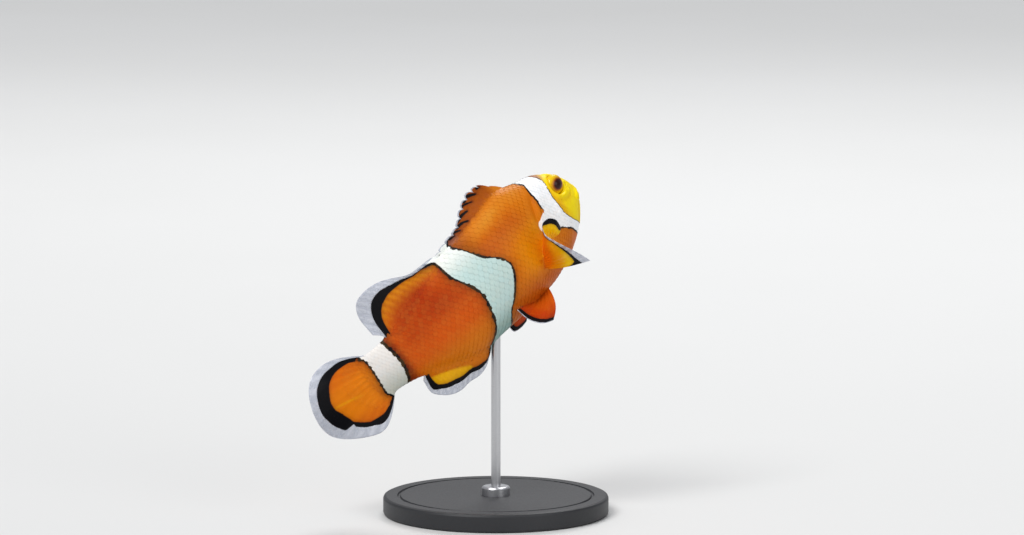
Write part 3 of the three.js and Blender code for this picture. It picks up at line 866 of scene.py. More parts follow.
def one_skin(shells):
    """The body and its fins as one closed skin, joined at a thousand times the size.
    Returns the skin, its facts, and which of its vertices the joining made."""
    facts = np.vstack([facts for _, facts in shells])
    tree = KDTree(len(facts))
    for shell, _ in shells:
        shell.data.transform(Matrix.Scale(JOIN_SCALE, 4))
    sources = [vertex.co for shell, _ in shells for vertex in shell.data.vertices]
    for i, place in enumerate(sources):
        tree.insert(place, i)
    tree.balance()
    body, *plates = [shell for shell, _ in shells]
    for plate in plates:
        union = body.modifiers.new(plate.name, "BOOLEAN")
        union.operation = "UNION"
        union.solver = "EXACT"
        union.object = plate
    depsgraph = bpy.context.evaluated_depsgraph_get()
    mesh = bpy.data.meshes.new_from_object(body.evaluated_get(depsgraph))
    mesh.name = "fish_skin"
    found = [tree.find(vertex.co)[1:] for vertex in mesh.vertices]
    mesh.transform(Matrix.Scale(1 / JOIN_SCALE, 4))
    skin = in_scene("fish_skin", mesh)
    for gone in (body, *plates):
        bpy.data.objects.remove(gone)
    return skin, facts[[i for i, _ in found]], [gap > SAME_PLACE for _, gap in found]


def round_seams(skin, new):
    """Rounds the corners where the fins meet the body. A vertex on two edges only would
    leave a flap, so it goes. Returns the numbers of those that stay."""
    bm = bmesh.new()
    bm.from_mesh(skin.data)
    near = {vertex for vertex, made in zip(bm.verts, new) if made}
    for _ in range(SEAM_RINGS):
        near |= {edge.other_vert(vertex) for vertex in near for edge in vertex.link_edges}
    for _ in range(SEAM_PASSES):
        bmesh.ops.smooth_vert(bm, verts=list(near), factor=0.5, use_axis_x=True,
                              use_axis_y=True, use_axis_z=True)
    stay = [vertex.index for vertex in bm.verts if len(vertex.link_edges) > 2]
    idle = [vertex for vertex in bm.verts if len(vertex.link_edges) == 2]
    bmesh.ops.dissolve_verts(bm, verts=idle)
    bm.to_mesh(skin.data)
    bm.free()
    skin.data.shade_smooth()
    return stay


# ---------------------------------------------------------------------------- markings

# In the sums below, hump takes the middle and the width of a patch of colour, and ease
# the two places between which a colour comes in, as stations or heights.


def layered(base, *coats):
    """A colour under coats of others, each given as a colour and its weights."""
    for colour, weight in coats:
        base = base + (colour - base) * np.asarray(weight)[..., None]
    return base


def band_gaps(band, station, up):
    """Millimetres behind a band's front edge and ahead of its rear edge, and the width
    of the black line on the nearer side."""
    behind, front_share = offset_from(band["front"], station, up)
    past, rear_share = offset_from(band["rear"], station, up)
    line = np.where(behind < -past, along(band["front_line"], front_share),
                    along(band["rear_line"], rear_share))
    return np.stack([behind, -past, line], 1)


def face_colours(station, up):
    """The face, yellow, with painted shade in its creases, mouth slit and nostril and under
    the head, and with dark pores.
    """
    mouth, gape = mouth_gap(station, up)
    # painted shade in the mouth slit and the nostril; the pores are dark spots
    dark = np.maximum(0.6 * hump(mouth, 0.14) * gape,
                      0.8 * hump(gap_to(NOSTRIL, station, up), 0.24))
    for pore in FACE_PORES:
        dark = np.maximum(dark, 0.5 * hump(gap_to(pore, station, up), 0.13))
    return layered(
        FACE,
        (FACE_BY_BAND, 0.8 * ease(0.110, 0.160, station)),
        (NAPE, ease(0.098, 0.128, up) * ease(0.085, 0.125, station)),
        # painted shade under the head
        (BREAST_SHADE, 0.5 * ease(-0.07, -0.13, up)),
        *((FACE_SHADE, creased(crease, "shade", "shade_fade", station, up))
          for crease in CREASES),
        (DARK_RED, dark))


def body_colours(station, up, part):
    """The flanks, back and belly, with painted highlight and shade, and the face ahead of the
    head's white band.
    """
    # A painted highlight along the back, where it faces the light from above.
    ridge_highlight = hump(up - (0.168 - 0.14 * (station - 0.36)), 0.018) * hump(station - 0.38, 0.07)
    behind = 1.9 * (station - 0.63) - (up - 0.02)
    rear = layered(
        REAR_FLANK,
        (REAR_FLANK_DEEP, 0.9 * hump(behind - 0.05, 0.18) * ease(-0.02, 0.08, up)),
        (REAR_FLANK_DEEP, 0.6 * hump(station - 0.79, 0.07) * ease(-0.03, 0.05, up)),
        (REAR_BELLY, ease(-0.02, -0.12, up) * ease(0.90, 0.82, station)),
        (REAR_END, 0.8 * ease(0.850, 0.876, station)))
    ahead, _ = offset_from(HEAD_BAND["front"], station, up)
    return layered(
        FRONT_FLANK,
        (FRONT_FLANK_DEEP, hump(station - 0.45, 0.09) * hump(up - 0.01, 0.09)),
        # painted shade high on the front flank
        (UPPER_FLANK, 0.8 * hump(up - 0.105, 0.045) * ease(0.26, 0.33, station)),
        (UPPER_FLANK_REAR, 0.8 * ease(0.43, 0.50, station) * ease(0.04, 0.12, up)),
        (SHOULDER, hump(station - 0.335, 0.06) * hump(up + 0.03, 0.08)),
        (SHOULDER, 0.8 * hump(station - 0.285, 0.03) * ease(0.09, 0.03, up)),
        # painted shade on the breast and the belly ahead of the middle band
        (BREAST_SHADE, ease(-0.05, -0.14, up) * ease(0.54, 0.46, station)),
        # painted highlight along the back, then a painted sheen on the nape
        (BACK_RIDGE_HIGHLIGHT, 0.8 * ridge_highlight * (part < REAR_FIN)),
        (BACK_RIDGE_HIGHLIGHT, 0.65 * ease(0.12, 0.18, up) * ease(0.34, 0.24, station)),
        (rear, ease(0.53, 0.57, station)),
        (face_colours(station, up), ease(0.8, 0.0, ahead)))


def with_fins(flesh, station, up, part, ray, v):
    """The fins' own colours over the body's, with pale rays and a painted highlight along one
    ray of the tail fin.
    """
    streak = 0.5 + 0.5 * np.cos(2 * np.pi * ray)
    below = along(ANAL_YELLOW_LINE, station) - up
    yellow = ease(-0.002, 0.008, below) * ease(0.695, 0.715, station)
    # A painted highlight along one ray in the middle of the tail fin.
    ray_highlight = hump(up + 0.041 - 0.27 * (station - 1), 0.004) * ease(1.03, 1.07, station)
    tail = layered(
        CAUDAL,
        (CAUDAL_EDGE, ease(0.04, 0.10, np.abs(up + 0.02)) * (0.8 - 0.2 * streak)),
        (ANAL_YELLOW, 0.5 * ray_highlight))
    u = ray / PECTORAL["rays"]
    inner = ease(0.42, 0.34, u) * ease(0.12, 0.3, v)
    tipward = v - 0.5 - 1.2 * (0.9 - u)
    outer = ease(0.5, 0.6, u) * (0.4 * ease(-0.35, 0, tipward) + 0.6 * ease(0, 0.22, tipward))
    pectoral = layered(
        PECTORAL_ORANGE,
        (PECTORAL_YELLOW, np.maximum(inner, outer) * (0.9 + 0.1 * streak)),
        # painted shade at the fin's root, where it meets the body
        (DARK_RED, 0.4 * ease(0.26, 0.04, v)))
    pelvic = layered(PELVIC_ORANGE, (PELVIC_RED, ease(0.2, 0.8, v)))
    spiny, soft, anal = part == FRONT_FIN, part == REAR_FIN, part == ANAL_FIN
    return layered(
        flesh,
        (DORSAL_BROWN, spiny * 0.85 * ease(0.22, 0.45, v) * ease(0.265, 0.31, station)),
        (PINK_GREY, spiny * ease(0.47, 0.50, station) * ease(0.3, 0.6, v)),
        (SOFT_DORSAL, soft * ease(0.20, 0.60, v) * (0.62 + 0.38 * streak)),
        (ANAL_YELLOW, anal * yellow * (0.9 + 0.1 * streak)),
        (tail, ease(0.955, 0.975, station) * (part <= CAUDAL_FIN)),
        (pectoral, part == PECTORAL_FIN),
        (pelvic, part == PELVIC_FIN))


def white_colours(station, up):
    """The colour of the white bands, with painted shade: greyer down the sides and towards the
    belly, as if lit from above.
    """
    middle = layered(WHITE_TOP, (WHITE_SIDE_SHADE, ease(0.17, 0.08, up)),
                     (WHITE_BELLY_SHADE, ease(-0.06, -0.17, up)))
    tail = layered(WHITE_TAIL, (WHITE_TAIL_LOW_SHADE, ease(0.03, -0.08, up)))
    return layered(WHITE_HEAD, (middle, ease(0.35, 0.45, station)),
                   (tail, ease(0.75, 0.85, station)))


def paint(mesh, facts):
    """Works out the markings from a piece's facts and stores them on it."""
    station, _, up, ray, black, v, part = facts.T
    write(mesh, "fin", "FLOAT_VECTOR", facts[:, 3:6])
    flesh = with_fins(body_colours(station, up, part), station, up, part, ray, v)
    for name, band in BANDS.items():
        gaps = band_gaps(band, station, up)
        gaps[part >= PECTORAL_FIN, 0:2] = NO_BAND
        outside = -np.minimum(gaps[:, 0], gaps[:, 1])
        depth = np.where(gaps[:, 0] < gaps[:, 1], *band["shade"])
        past_line = np.maximum(outside - gaps[:, 2], 0)
        shade = depth * np.exp(-past_line / (SHADE_SPREAD * depth)) * SHADE_STRENGTH
        flesh = layered(flesh, (DARK_RED, shade * (outside > 0)))
        write(mesh, name, "FLOAT_VECTOR", gaps)
    shade = np.exp(np.minimum(black, 0) / EDGE_SHADE_SPREAD) * EDGE_SHADE_STRENGTH
    flesh = layered(flesh, (DARK_RED, shade * (part > BODY)))
    opaque = np.ones((len(station), 1))
    # The flesh and white colours carry the painted highlight and shade with them.
    write(mesh, "flesh", "FLOAT_COLOR", np.hstack([flesh, opaque]))
    write(mesh, "white", "FLOAT_COLOR", np.hstack([white_colours(station, up), opaque]))


# ------------------------------------------------------------------------------ scales

# The pitch at stations, in millimetres, and a scale's measures as shares of its pitch.
SCALE_PITCH = [(0.09, 0.66), (0.16, 0.80), (0.28, 1.08), (0.40, 1.26), (0.60, 1.22),
               (0.80, 1.0), (1.0, 0.78)]
SCALE_ASPECT = 1.65
SCALE_COVER = 1.12
SCALE_LENGTH = 1.8
SCALE_ROOT = 0.3
SCALE_RISE = (-0.03, 0.10)
SCALE_CROWN = 0.02
SCALE_THICKNESS = 0.030
SCALE_HEART = 0.66
SHARP_RIM = 50
HEART_SHARE = 0.25
SCALES_END = 0.985
OFF_RIDGE = 0.15
ROUND_RIM, NARROW_TIP, NARROW_ROOT = 0.34, 0.22, 0.14
ARC_POINTS, FIN_POINTS = 48, 40

# The scaleless skin: ahead of a line on the face, and these millimetres round the eye,
# the gill cover's edge down to a height, and the pectoral fin's lobe.
FACE_LINE = [(-0.15, 0.20), (-0.12, 0.17), (-0.06, 0.14), (0, 0.118), (0.04, 0.140),
             (0.10, 0.135), (0.13, 0.100)]
BARE_ROUND_EYE = 3.1
BARE_AT_GILL = (-1.0, 1.2)
BARE_GILL_DOWN_TO = -0.15
BARE_AT_LOBE = 1.3

# Scales on fins: the millimetres that they keep off the black, how far off the body they
# start, how far off the fin's ends they stay, and their lean across the rays.
OFF_BLACK = 1.2
OFF_BODY = 0.003
OFF_ENDS = 0.04
OVER_FIN = 0.1 * MM
UPRIGHT_LEAN = 0.5

# The unwrapped skin: the body's half of it, then a tile for each scaled fin.
UNWRAP_PATCH = 0.003
BODY_LEFT, BODY_WIDE = 0.02, 0.46
BODY_MIDDLE, BODY_HIGH = 0.5, 0.96
FINS_LEFT, FINS_WIDE = 0.52, 0.45
TILE_LOW, TILE_HIGH = 0.1, 0.8
NEXT = 1e-3


class Surface:
    """The finished skin as a surface that scales can lie on."""

    def __init__(self, mesh):
        mesh.calc_loop_triangles()
        self.mesh = mesh
        self.corners = np.array([triangle.vertices[:] for triangle in mesh.loop_triangles])
        self.places = np.array([vertex.co[:] for vertex in mesh.vertices])
        self.normals = np.array([vertex.normal[:] for vertex in mesh.vertices])
        self.tree = BVHTree.FromPolygons(self.places.tolist(), self.corners.tolist())

    def under(self, points):
        """The nearest places on the skin, as corners and the weight of each."""
        found = [self.tree.find_nearest(point) for point in points]
        corners = self.corners[[hit[2] for hit in found]]
        spots = np.array([hit[0][:] for hit in found])
        a, b, c = self.places[corners].transpose(1, 0, 2)
        ab, ac, ap = b - a, c - a, spots - a
        aa = (ab * ab).sum(1)
        bb = (ac * ac).sum(1)
        cross = (ab * ac).sum(1)
        along_b, along_c = (ap * ab).sum(1), (ap * ac).sum(1)
        area = np.maximum(aa * bb - cross * cross, 1e-30)
        second = np.clip((bb * along_b - cross * along_c) / area, 0, 1)
        third = np.clip((aa * along_c - cross * along_b) / area, 0, 1)
        return corners, np.stack([1 - second - third, second, third], 1)


def blended(values, corners, weights):
    """The values at places on the skin, from those of the corners round each."""
    return (values[corners] * weights[..., None]).sum(1)


def bare(station, up):
    """Whether the skin has no scales there."""
    gill, _ = offset_from(GILL_EDGE, station, up)
    lobe, _ = offset_from(PECTORAL_LOBE, station, up)
    ahead, behind = BARE_AT_GILL
    return ((station < along(FACE_LINE, up))
            | (gap_to(EYE_PLACE, station, up) < BARE_ROUND_EYE)
            | (gill > ahead) & (gill < behind) & (up > BARE_GILL_DOWN_TO)
            | (np.abs(lobe) < BARE_AT_LOBE))


def quarter_arc(station, way):
    """Angles and distances, in millimetres, from a flank's middle line to the back
    (way 1) or to the belly (way -1)."""
    angles = np.linspace(0, way * np.pi / 2, ARC_POINTS)
    line = np.stack(flank(np.full(ARC_POINTS, station), angles)[1:], 1)
    return angles, distances(line * LENGTH / MM)


def body_scales():
    """Rows of (station, angle on the left side, pitch), set like tiles."""
    rows, station, shift = [], SCALE_PITCH[0][0], 0
    while station < SCALES_END:
        pitch = float(along(SCALE_PITCH, station))
        spacing = pitch * SCALE_ASPECT
        for way in (1, -1):
            angles, arcs = quarter_arc(station, way)
            arc = (np.arange(int(arcs[-1] / spacing) + 1) + shift) * spacing
            kept = (arc <= arcs[-1] - OFF_RIDGE * pitch) & ((way > 0) | (arc > 0))
            rows += [(station, angle, pitch) for angle in np.interp(arc[kept], arcs, angles)]
        station += pitch / 2 * MM / LENGTH
        shift = 0.5 - shift
    rows = np.array(rows)
    _, _, up = flank(rows[:, 0], rows[:, 1])
    return rows[~bare(rows[:, 0], up)]


def gathered(place, tailward, across, pitch, unwrapped):
    """Rows for lay_scales, with the two directions square to each other."""
    tailward = unit(tailward)
    across = unit(across - tailward * (across * tailward).sum(1)[:, None])
    return np.hstack([place, tailward, across, pitch[:, None], unwrapped])


def body_roots(side):
    """Where the scales of one side root, and which way they lie."""
    station, angle, pitch = body_scales().T
    unwrapped = np.stack([BODY_LEFT + BODY_WIDE * station,
                          BODY_MIDDLE + BODY_HIGH * angle / np.pi], 1)
    angle = angle if side > 0 else np.pi - angle
    place = bent(*flank(station, angle))
    tailward = bent(*flank(station + NEXT, angle)) - bent(*flank(station - NEXT, angle))
    across = bent(*flank(station, angle + NEXT)) - bent(*flank(station, angle - NEXT))
    return gathered(place, tailward, across, pitch, unwrapped)


def fin_roots(fin, side, tile):
    """The same for the scales that creep out over the base of a fin."""
    v, high, pitch = fin.table["scales"]
    rows, shift = [], 0.25
    line = np.linspace(0, 1, FIN_POINTS)
    while v < high:
        arcs = distances(fin.at(line, 0 * line + v))
        count = int(arcs[-1] / (pitch * SCALE_ASPECT * MM))
        sites = np.interp((np.arange(count) + shift) / count, arcs / arcs[-1], line)
        rows += [(u, v) for u in sites if OFF_ENDS < u < 1 - OFF_ENDS]
        v += pitch / 2 * MM / float(np.mean(fin.reach(line)))
        shift = 1 - shift
    u, v = np.transpose(rows)
    station, _, up = fin.place(u, v)
    on_body = ((up < top_at(station) + OFF_BODY) & (up > bottom_at(station) - OFF_BODY)
               & (station < SCALES_END))
    plain = ~on_body & (fin.black(u, v) < -OFF_BLACK)
    u, v = u[plain], v[plain]
    normal = fin.normal(u, v) * side
    place = fin.at(u, v) + normal * (fin.half_thickness(u, v)[:, None] + OVER_FIN)
    ray = unit(fin.at(u, v + NEXT) - fin.at(u, v))
    beside = unit(fin.at(u + NEXT, v) - fin.at(u, v))
    tailward = ray + (UPRIGHT_LEAN if fin.part < CAUDAL_FIN else 0) * beside
    unwrapped = np.stack([FINS_LEFT + FINS_WIDE * u,
                          (tile + TILE_LOW + TILE_HIGH * v) / 3], 1)
    return gathered(place, tailward, np.cross(normal, tailward), np.full(len(u), pitch),
                    unwrapped)


def scale_outline():
    """One scale as a closed plate: x from its root to its free edge, y across."""
    bm = twin_grid(3, 4)
    bmesh.ops.dissolve_faces(bm, faces=[face for face in bm.faces if face.normal.z < -0.9
                                        or all(v.co.z < 0 for v in face.verts)])
    bmesh.ops.recalc_face_normals(bm, faces=bm.faces[:])
    for vertex in bm.verts:
        x, y = vertex.co.x, 2 * vertex.co.y - 1
        waist = 1 - NARROW_ROOT + NARROW_ROOT * math.sin(math.pi * x)
        vertex.co.x = x * (1 - ROUND_RIM * y * y * x)
        vertex.co.y = y * (1 - NARROW_TIP * x ** 3) * waist
    return bm


def lay_scales(name, surface, roots):
    """One mesh of scales. roots are rows of place, tailward and across directions,
    pitch in millimetres, and place on the unwrapped skin, where each scale takes a
    small patch."""
    pattern = scale_outline()
    outline = places_in(pattern)
    mesh = bpy.data.meshes.new("one_scale")
    pattern.to_mesh(mesh)
    pattern.free()
    bm = bmesh.new()
    for _ in range(len(roots)):
        bm.from_mesh(mesh)
    x, y, z = np.tile(outline, (len(roots), 1)).T
    each = np.repeat(roots, len(outline), axis=0)
    place, tailward, across, pitch = each[:, 0:3], each[:, 3:6], each[:, 6:9], each[:, 9]
    size = pitch * MM
    spot = (place + tailward * ((x - SCALE_ROOT) * SCALE_LENGTH * size)[:, None]
            + across * (y * SCALE_ASPECT * SCALE_COVER / 2 * size)[:, None])
    under = surface.under(spot)
    low, high = SCALE_RISE
    height = (low + (high - low) * x + SCALE_CROWN * (1 - y * y) * x
              - SCALE_THICKNESS * (z < 0))
    put(bm, blended(surface.places, *under)
        + blended(surface.normals, *under) * (height * np.minimum(pitch, 1) * MM)[:, None])
    made = made_object(name, bm)
    made.data.set_sharp_from_angle(angle=math.radians(SHARP_RIM))
    heart = np.argmin(np.hypot(outline[:, 0] - SCALE_HEART, outline[:, 1]))
    root = np.repeat(np.arange(len(roots)) * len(outline) + heart, len(outline))
    for key in (*BANDS, "fin"):
        values = blended(read(surface.mesh, key), *under)
        write(made.data, key, "FLOAT_VECTOR",
              (1 - HEART_SHARE) * values + HEART_SHARE * values[root])
    for key in ("flesh", "white"):
        write(made.data, key, "FLOAT_COLOR", blended(read(surface.mesh, key), *under))
    chance = np.repeat(np.random.default_rng(7).random(len(roots)), len(outline))
    write(made.data, "scale", "FLOAT_VECTOR", np.stack([x, y, chance], 1))
    patch = each[:, 10:12] + np.stack([x - 0.5, y / 2], 1) * UNWRAP_PATCH
    corner = np.zeros(len(made.data.loops), int)
    made.data.loops.foreach_get("vertex_index", corner)
    unwrap = made.data.uv_layers.new(name="OFBake")
    unwrap.uv.foreach_set("vector", patch[corner].astype(np.float32).ravel())
    return made


# ------------------------------------------------------------------------------ shaders


class Wire:
    """A shader socket that can be used in sums."""

    def __init__(self, finish, socket):
        self.finish = finish
        self.socket = socket

    def sums(self, operation, *others):
        return self.finish.maths(operation, self, *others)

    def __add__(self, other):
        return self.sums("ADD", other)

    __radd__ = __add__

    def __mul__(self, other):
        return self.sums("MULTIPLY", other)

    __rmul__ = __mul__

    def __sub__(self, other):
        return self.sums("SUBTRACT", other)

    def __rsub__(self, other):
        return self.finish.maths("SUBTRACT", other, self)

    def __truediv__(self, other):
        return self.sums("DIVIDE", other)

    def __rtruediv__(self, other):
        return self.finish.maths("DIVIDE", other, self)

    def least(self, other):
        return self.sums("MINIMUM", other)

    def most(self, other):
        return self.sums("MAXIMUM", other)

    def sine(self):
        return self.sums("SINE")

    def root(self):
        return self.sums("SQRT")

    def eased(self, low, high):
        """0 at low, 1 at high and smooth between."""
        return self.finish.node(
            "ShaderNodeMapRange", {"interpolation_type": "SMOOTHSTEP"},
            {"Value": self, "From Min": low, "From Max": high}, "Result")


class Finish:
    """A material in the making."""

    def __init__(self, name):
        self.material = bpy.data.materials.new(name)
        self.material.use_nodes = True
        self.tree = self.material.node_tree
        self.tree.nodes.clear()

    def node(self, kind, settings, sockets, output=0):
        """One node: its settings, the values or wires of its sockets, its output."""
        made = self.tree.nodes.new(kind)
        for key, value in settings.items():
            if key == "stops":
                self.set_stops(made.color_ramp, value)
            else:
                setattr(made, key, value)
        for key, value in sockets.items():
            if isinstance(value, Wire):
                self.tree.links.new(value.socket, made.inputs[key])
            else:
                made.inputs[key].default_value = value
        return Wire(self, made.outputs[output])

    def set_stops(self, ramp, stops):
        while len(ramp.elements) < len(stops):
            ramp.elements.new(1)
        for element, (place, colour) in zip(ramp.elements, stops):
            element.position = place
            element.color = (*colour, 1)

    def maths(self, operation, *values):
        return self.node("ShaderNodeMath", {"operation": operation}, dict(enumerate(values)))

    def mix(self, share, first, second):
        """A mix of two colours."""
        first, second = (value if isinstance(value, Wire) else (*value, 1)
                         for value in (first, second))
        return self.node("ShaderNodeMix", {"data_type": "RGBA"},
                         {0: share, 6: first, 7: second}, 2)

    def stored(self, name, output="Fac"):
        """What a piece's own attribute holds."""
        return self.node("ShaderNodeAttribute", {"attribute_name": name}, {}, output)

    def parts(self, name):
        """The three numbers of a stored vector."""
        split = self.tree.nodes.new("ShaderNodeSeparateXYZ")
        self.tree.links.new(self.stored(name, "Vector").socket, split.inputs[0])
        return [Wire(self, socket) for socket in split.outputs]

    def place(self):
        return self.node("ShaderNodeTexCoord", {}, {}, "Object")

    def noise(self, grain, detail=2.0, rough=0.5, vector=None):
        """Noise whose lumps are about grain across, in metres."""
        return self.node("ShaderNodeTexNoise", {},
                         {"Vector": vector or self.place(), "Scale": 1 / grain,
                          "Detail": detail, "Roughness": rough}, "Fac")

    def clouded(self, colour, other, share, noise, low, high):
        """A colour with clouds of another, up to a share, where noise is high."""
        return self.mix(noise.eased(low, high) * share, colour, other)

    def bump(self, height, depth, strength):
        return self.node("ShaderNodeBump", {},
                         {"Height": height, "Distance": depth, "Strength": strength})

    def done(self, **sockets):
        """Ends in a Principled surface; socket names are written with underscores."""
        named = {key.replace("_", " "): value for key, value in sockets.items()}
        surface = self.node("ShaderNodeBsdfPrincipled", {}, named)
        output = self.tree.nodes.new("ShaderNodeOutputMaterial")
        self.tree.links.new(surface.socket, output.inputs["Surface"])
        return self.material


WET_COAT = {"Coat_Weight": 0.05, "Coat_Roughness": 0.2, "IOR": 1.2}

# How far the markings' edges wander and over what width they change, in millimetres.
BAND_WANDER, BAND_SOFT, LINE_SOFT = 0.22, (-0.04, 0.06), (-0.07, 0.07)
EDGE_WANDER, EDGE_SOFT = 0.25, (-0.10, 0.10)


def marked_colour(finish, flesh):
    """A flesh colour with the fish's white bands, black lines and black fin edges."""
    fine = finish.noise(0.55 * MM) - 0.5
    colour = finish.clouded(flesh, RUST_CLOUD, 0.10, finish.noise(5 * MM, 3), 0.35, 0.75)
    colour = finish.clouded(colour, GOLD_SPECK, 0.14, finish.noise(0.16 * MM), 0.45, 0.9)
    pale = finish.clouded(finish.stored("white", "Color"), COOL_CLOUD, 0.18,
                          finish.noise(1.1 * MM, 3), 0.4, 0.8)
    bands, lines = [], []
    for name in BANDS:
        behind, ahead, width = finish.parts(name)
        depth = behind.least(ahead) + fine * BAND_WANDER
        bands.append(depth.eased(*BAND_SOFT))
        lines.append((depth + width).eased(*LINE_SOFT))
    inside = reduce(Wire.most, bands)
    colour = finish.mix(reduce(Wire.most, lines), colour, LINE_BLACK)
    _, black, _ = finish.parts("fin")
    fin_black = (black + fine * EDGE_WANDER).eased(*EDGE_SOFT) * (1 - inside)
    return finish.mix(inside, finish.mix(fin_black, colour, BLACK), pale)


def skin_finish():
    finish = Finish("clownfish_skin")
    _, _, out = finish.parts("fin")
    joints = (out * 170).sine() * out.eased(0.25, 0.5) * 0.12
    grain = finish.noise(0.09 * MM, 3) * 0.5 + finish.noise(0.4 * MM)
    cells = finish.node("ShaderNodeTexVoronoi", {"feature": "F1"},
                        {"Vector": finish.place(), "Scale": 1 / (0.34 * MM)}, "Distance")
    pores = cells.eased(0.16, 0.04)
    flesh = finish.clouded(finish.stored("flesh", "Color"), AMBER_CLOUD, 0.14,
                           finish.noise(1.5 * MM, 4, 0.6), 0.42, 0.72)
    return finish.done(
        Base_Color=marked_colour(finish, finish.mix(pores * 0.18, flesh, PORE)),
        Roughness=0.40 + finish.noise(0.8 * MM) * 0.16,
        Normal=finish.bump(grain + joints - pores * 0.9, 0.03 * MM, 0.6), **WET_COAT)


def scale_finish():
    finish = Finish("clownfish_scales")
    out, across, chance = finish.parts("scale")
    marked = marked_colour(finish, finish.stored("flesh", "Color"))
    colour = finish.mix(out.eased(0.80, 0.98) * 0.07, marked, SCALE_RIM)
    from_focus = ((out - 0.1) * (out - 0.1) + across * across * 0.35).root()
    rings = (from_focus * 95).sine() * 0.25
    return finish.done(
        Base_Color=finish.mix(chance * 0.05, colour, SCALE_GOLD),
        Roughness=0.38 + chance * 0.06 + finish.noise(0.7 * MM) * 0.12,
        Normal=finish.bump(rings + finish.noise(0.12 * MM), 0.008 * MM, 0.7), **WET_COAT)


def clear_edge_finish():
    finish = Finish("clear_fin_edge")
    ray, _, _ = finish.parts("fin")
    streak = (ray * (2 * math.pi) + math.pi / 2).sine() * 0.5 + 0.5
    colour = finish.clouded(finish.mix(streak * 0.5, CLEAR_EDGE, CLEAR_RAY), CLEAR_CLOUD, 0.5,
                            finish.noise(0.7 * MM, 3), 0.45, 0.8)
    return finish.done(Base_Color=colour, Roughness=0.32,
                       Alpha=0.42 + streak * 0.22 + finish.noise(0.5 * MM) * 0.2,
                       Normal=finish.bump(finish.noise(0.15 * MM), 0.02 * MM, 0.5),
                       Coat_Weight=0.3, Coat_Roughness=0.15, IOR=1.38)


def eye_finish():
    finish = Finish("eye")
    x, y, _ = finish.parts("eye_place")
    span = (x * x + y * y * 0.72).root()
    turn = finish.maths("ARCTAN2", y, x)
    spokes = ((turn * 34).sine() * 0.5 + 0.5) * 0.5 + finish.noise(0.22 * MM, 3) * 0.6
    wander = span + (finish.noise(0.5 * MM) - 0.5) * 0.14
    iris = finish.node("ShaderNodeValToRGB", {"stops": IRIS}, {"Fac": wander / 2.2})
    colour = finish.mix(spokes.eased(0.2, 1) * span.eased(1.0, 1.25) * 0.35, iris, IRIS_SPOKE)
    return finish.done(Base_Color=colour, Roughness=0.35, Coat_Weight=0.3,
                       Coat_Roughness=0.08, IOR=1.2)


def black_coat_finish():
    finish = Finish("stand_black_coat")
    peel = finish.noise(0.35 * MM)
    speck = finish.noise(0.1 * MM, 1)
    return finish.done(
        Base_Color=finish.mix(finish.noise(9 * MM, 3) * 0.4, COAT_BLACK, COAT_GREY),
        Roughness=0.42 + peel * 0.16,
        Normal=finish.bump(peel + speck * 0.5, 0.02 * MM, 0.5), IOR=1.5)


def steel_finish():
    finish = Finish("stand_brushed_steel")
    squeezed = finish.node("ShaderNodeMapping", {"vector_type": "POINT"},
                           {"Vector": finish.place(), "Scale": (1, 1, 26)})
    lines = finish.noise(0.9 * MM, 4, 0.6, squeezed)
    return finish.done(Base_Color=finish.mix(lines, STEEL_DULL, STEEL_BRIGHT), Metallic=1.0,
                       Roughness=0.22 + lines * 0.2,
                       Normal=finish.bump(lines, 0.01 * MM, 0.5))


def floor_finish():
    finish = Finish("pale_floor")
    return finish.done(Base_Color=finish.mix(finish.noise(0.4), FLOOR_GREY, FLOOR_PALE),
                       Roughness=0.6 + finish.noise(0.05) * 0.1)


# -------------------------------------------------------------------------- the pieces

FLESH_NODES = ["head", "lower_jaw", "gill_cover_left", "gill_cover_right", "trunk", "tail",
               "dorsal_fin_front", "dorsal_fin_rear", "anal_fin", "tail_fin",
               "pectoral_fin_left", "pectoral_fin_right", "pelvic_fin_left",
               "pelvic_fin_right"]
EYE_SIDES, EYE_RINGS, EYE_SHARP = 64, 32, 35
STAND_SHARP = 20
BASE_SIDES, BASE_EDGE = 128, 0.6 * MM
BASE_CUT, BASE_GROOVE, GROOVE_IN = 0.18 * MM, 0.35 * MM, 3 * MM
COLLAR_SIDES, COLLAR_EDGE, COLLAR_SUNK = 64, 0.4 * MM, 0.3 * MM
COLLAR_CUT = (0.15 * MM, 0.12 * MM)
ROD_SIDES = 48


def make_skin(fins):
    shells = [body_shell()] + [fin_plate(fin, fin.name + "_shell") for fin in fins]
    skin, facts, new = one_skin(shells)
    stay = round_seams(skin, new)
    paint(skin.data, facts[stay])
    dress(skin, skin_finish(), "scaled_skin", *FLESH_NODES)
    return skin


def make_clear_edges(fins):
    finish = clear_edge_finish()
    for fin in fins:
        edge, facts = fin_plate(fin, fin.name + "_clear_edge", clear=True)
        write(edge.data, "fin", "FLOAT_VECTOR", facts[:, 3:6])
        dress(edge, finish, "scaled_skin")


def make_scales(skin, fins):
    surface = Surface(skin.data)
    finish = scale_finish()
    scaled = [fin for fin in fins if "scales" in fin.table]
    for name, side in (("left", 1), ("right", -1)):
        roots = [body_roots(side)]
        roots += [fin_roots(fin, side, tile) for tile, fin in enumerate(scaled)]
        dress(lay_scales(f"scales_{name}", surface, np.vstack(roots)), finish, "scaled_skin")


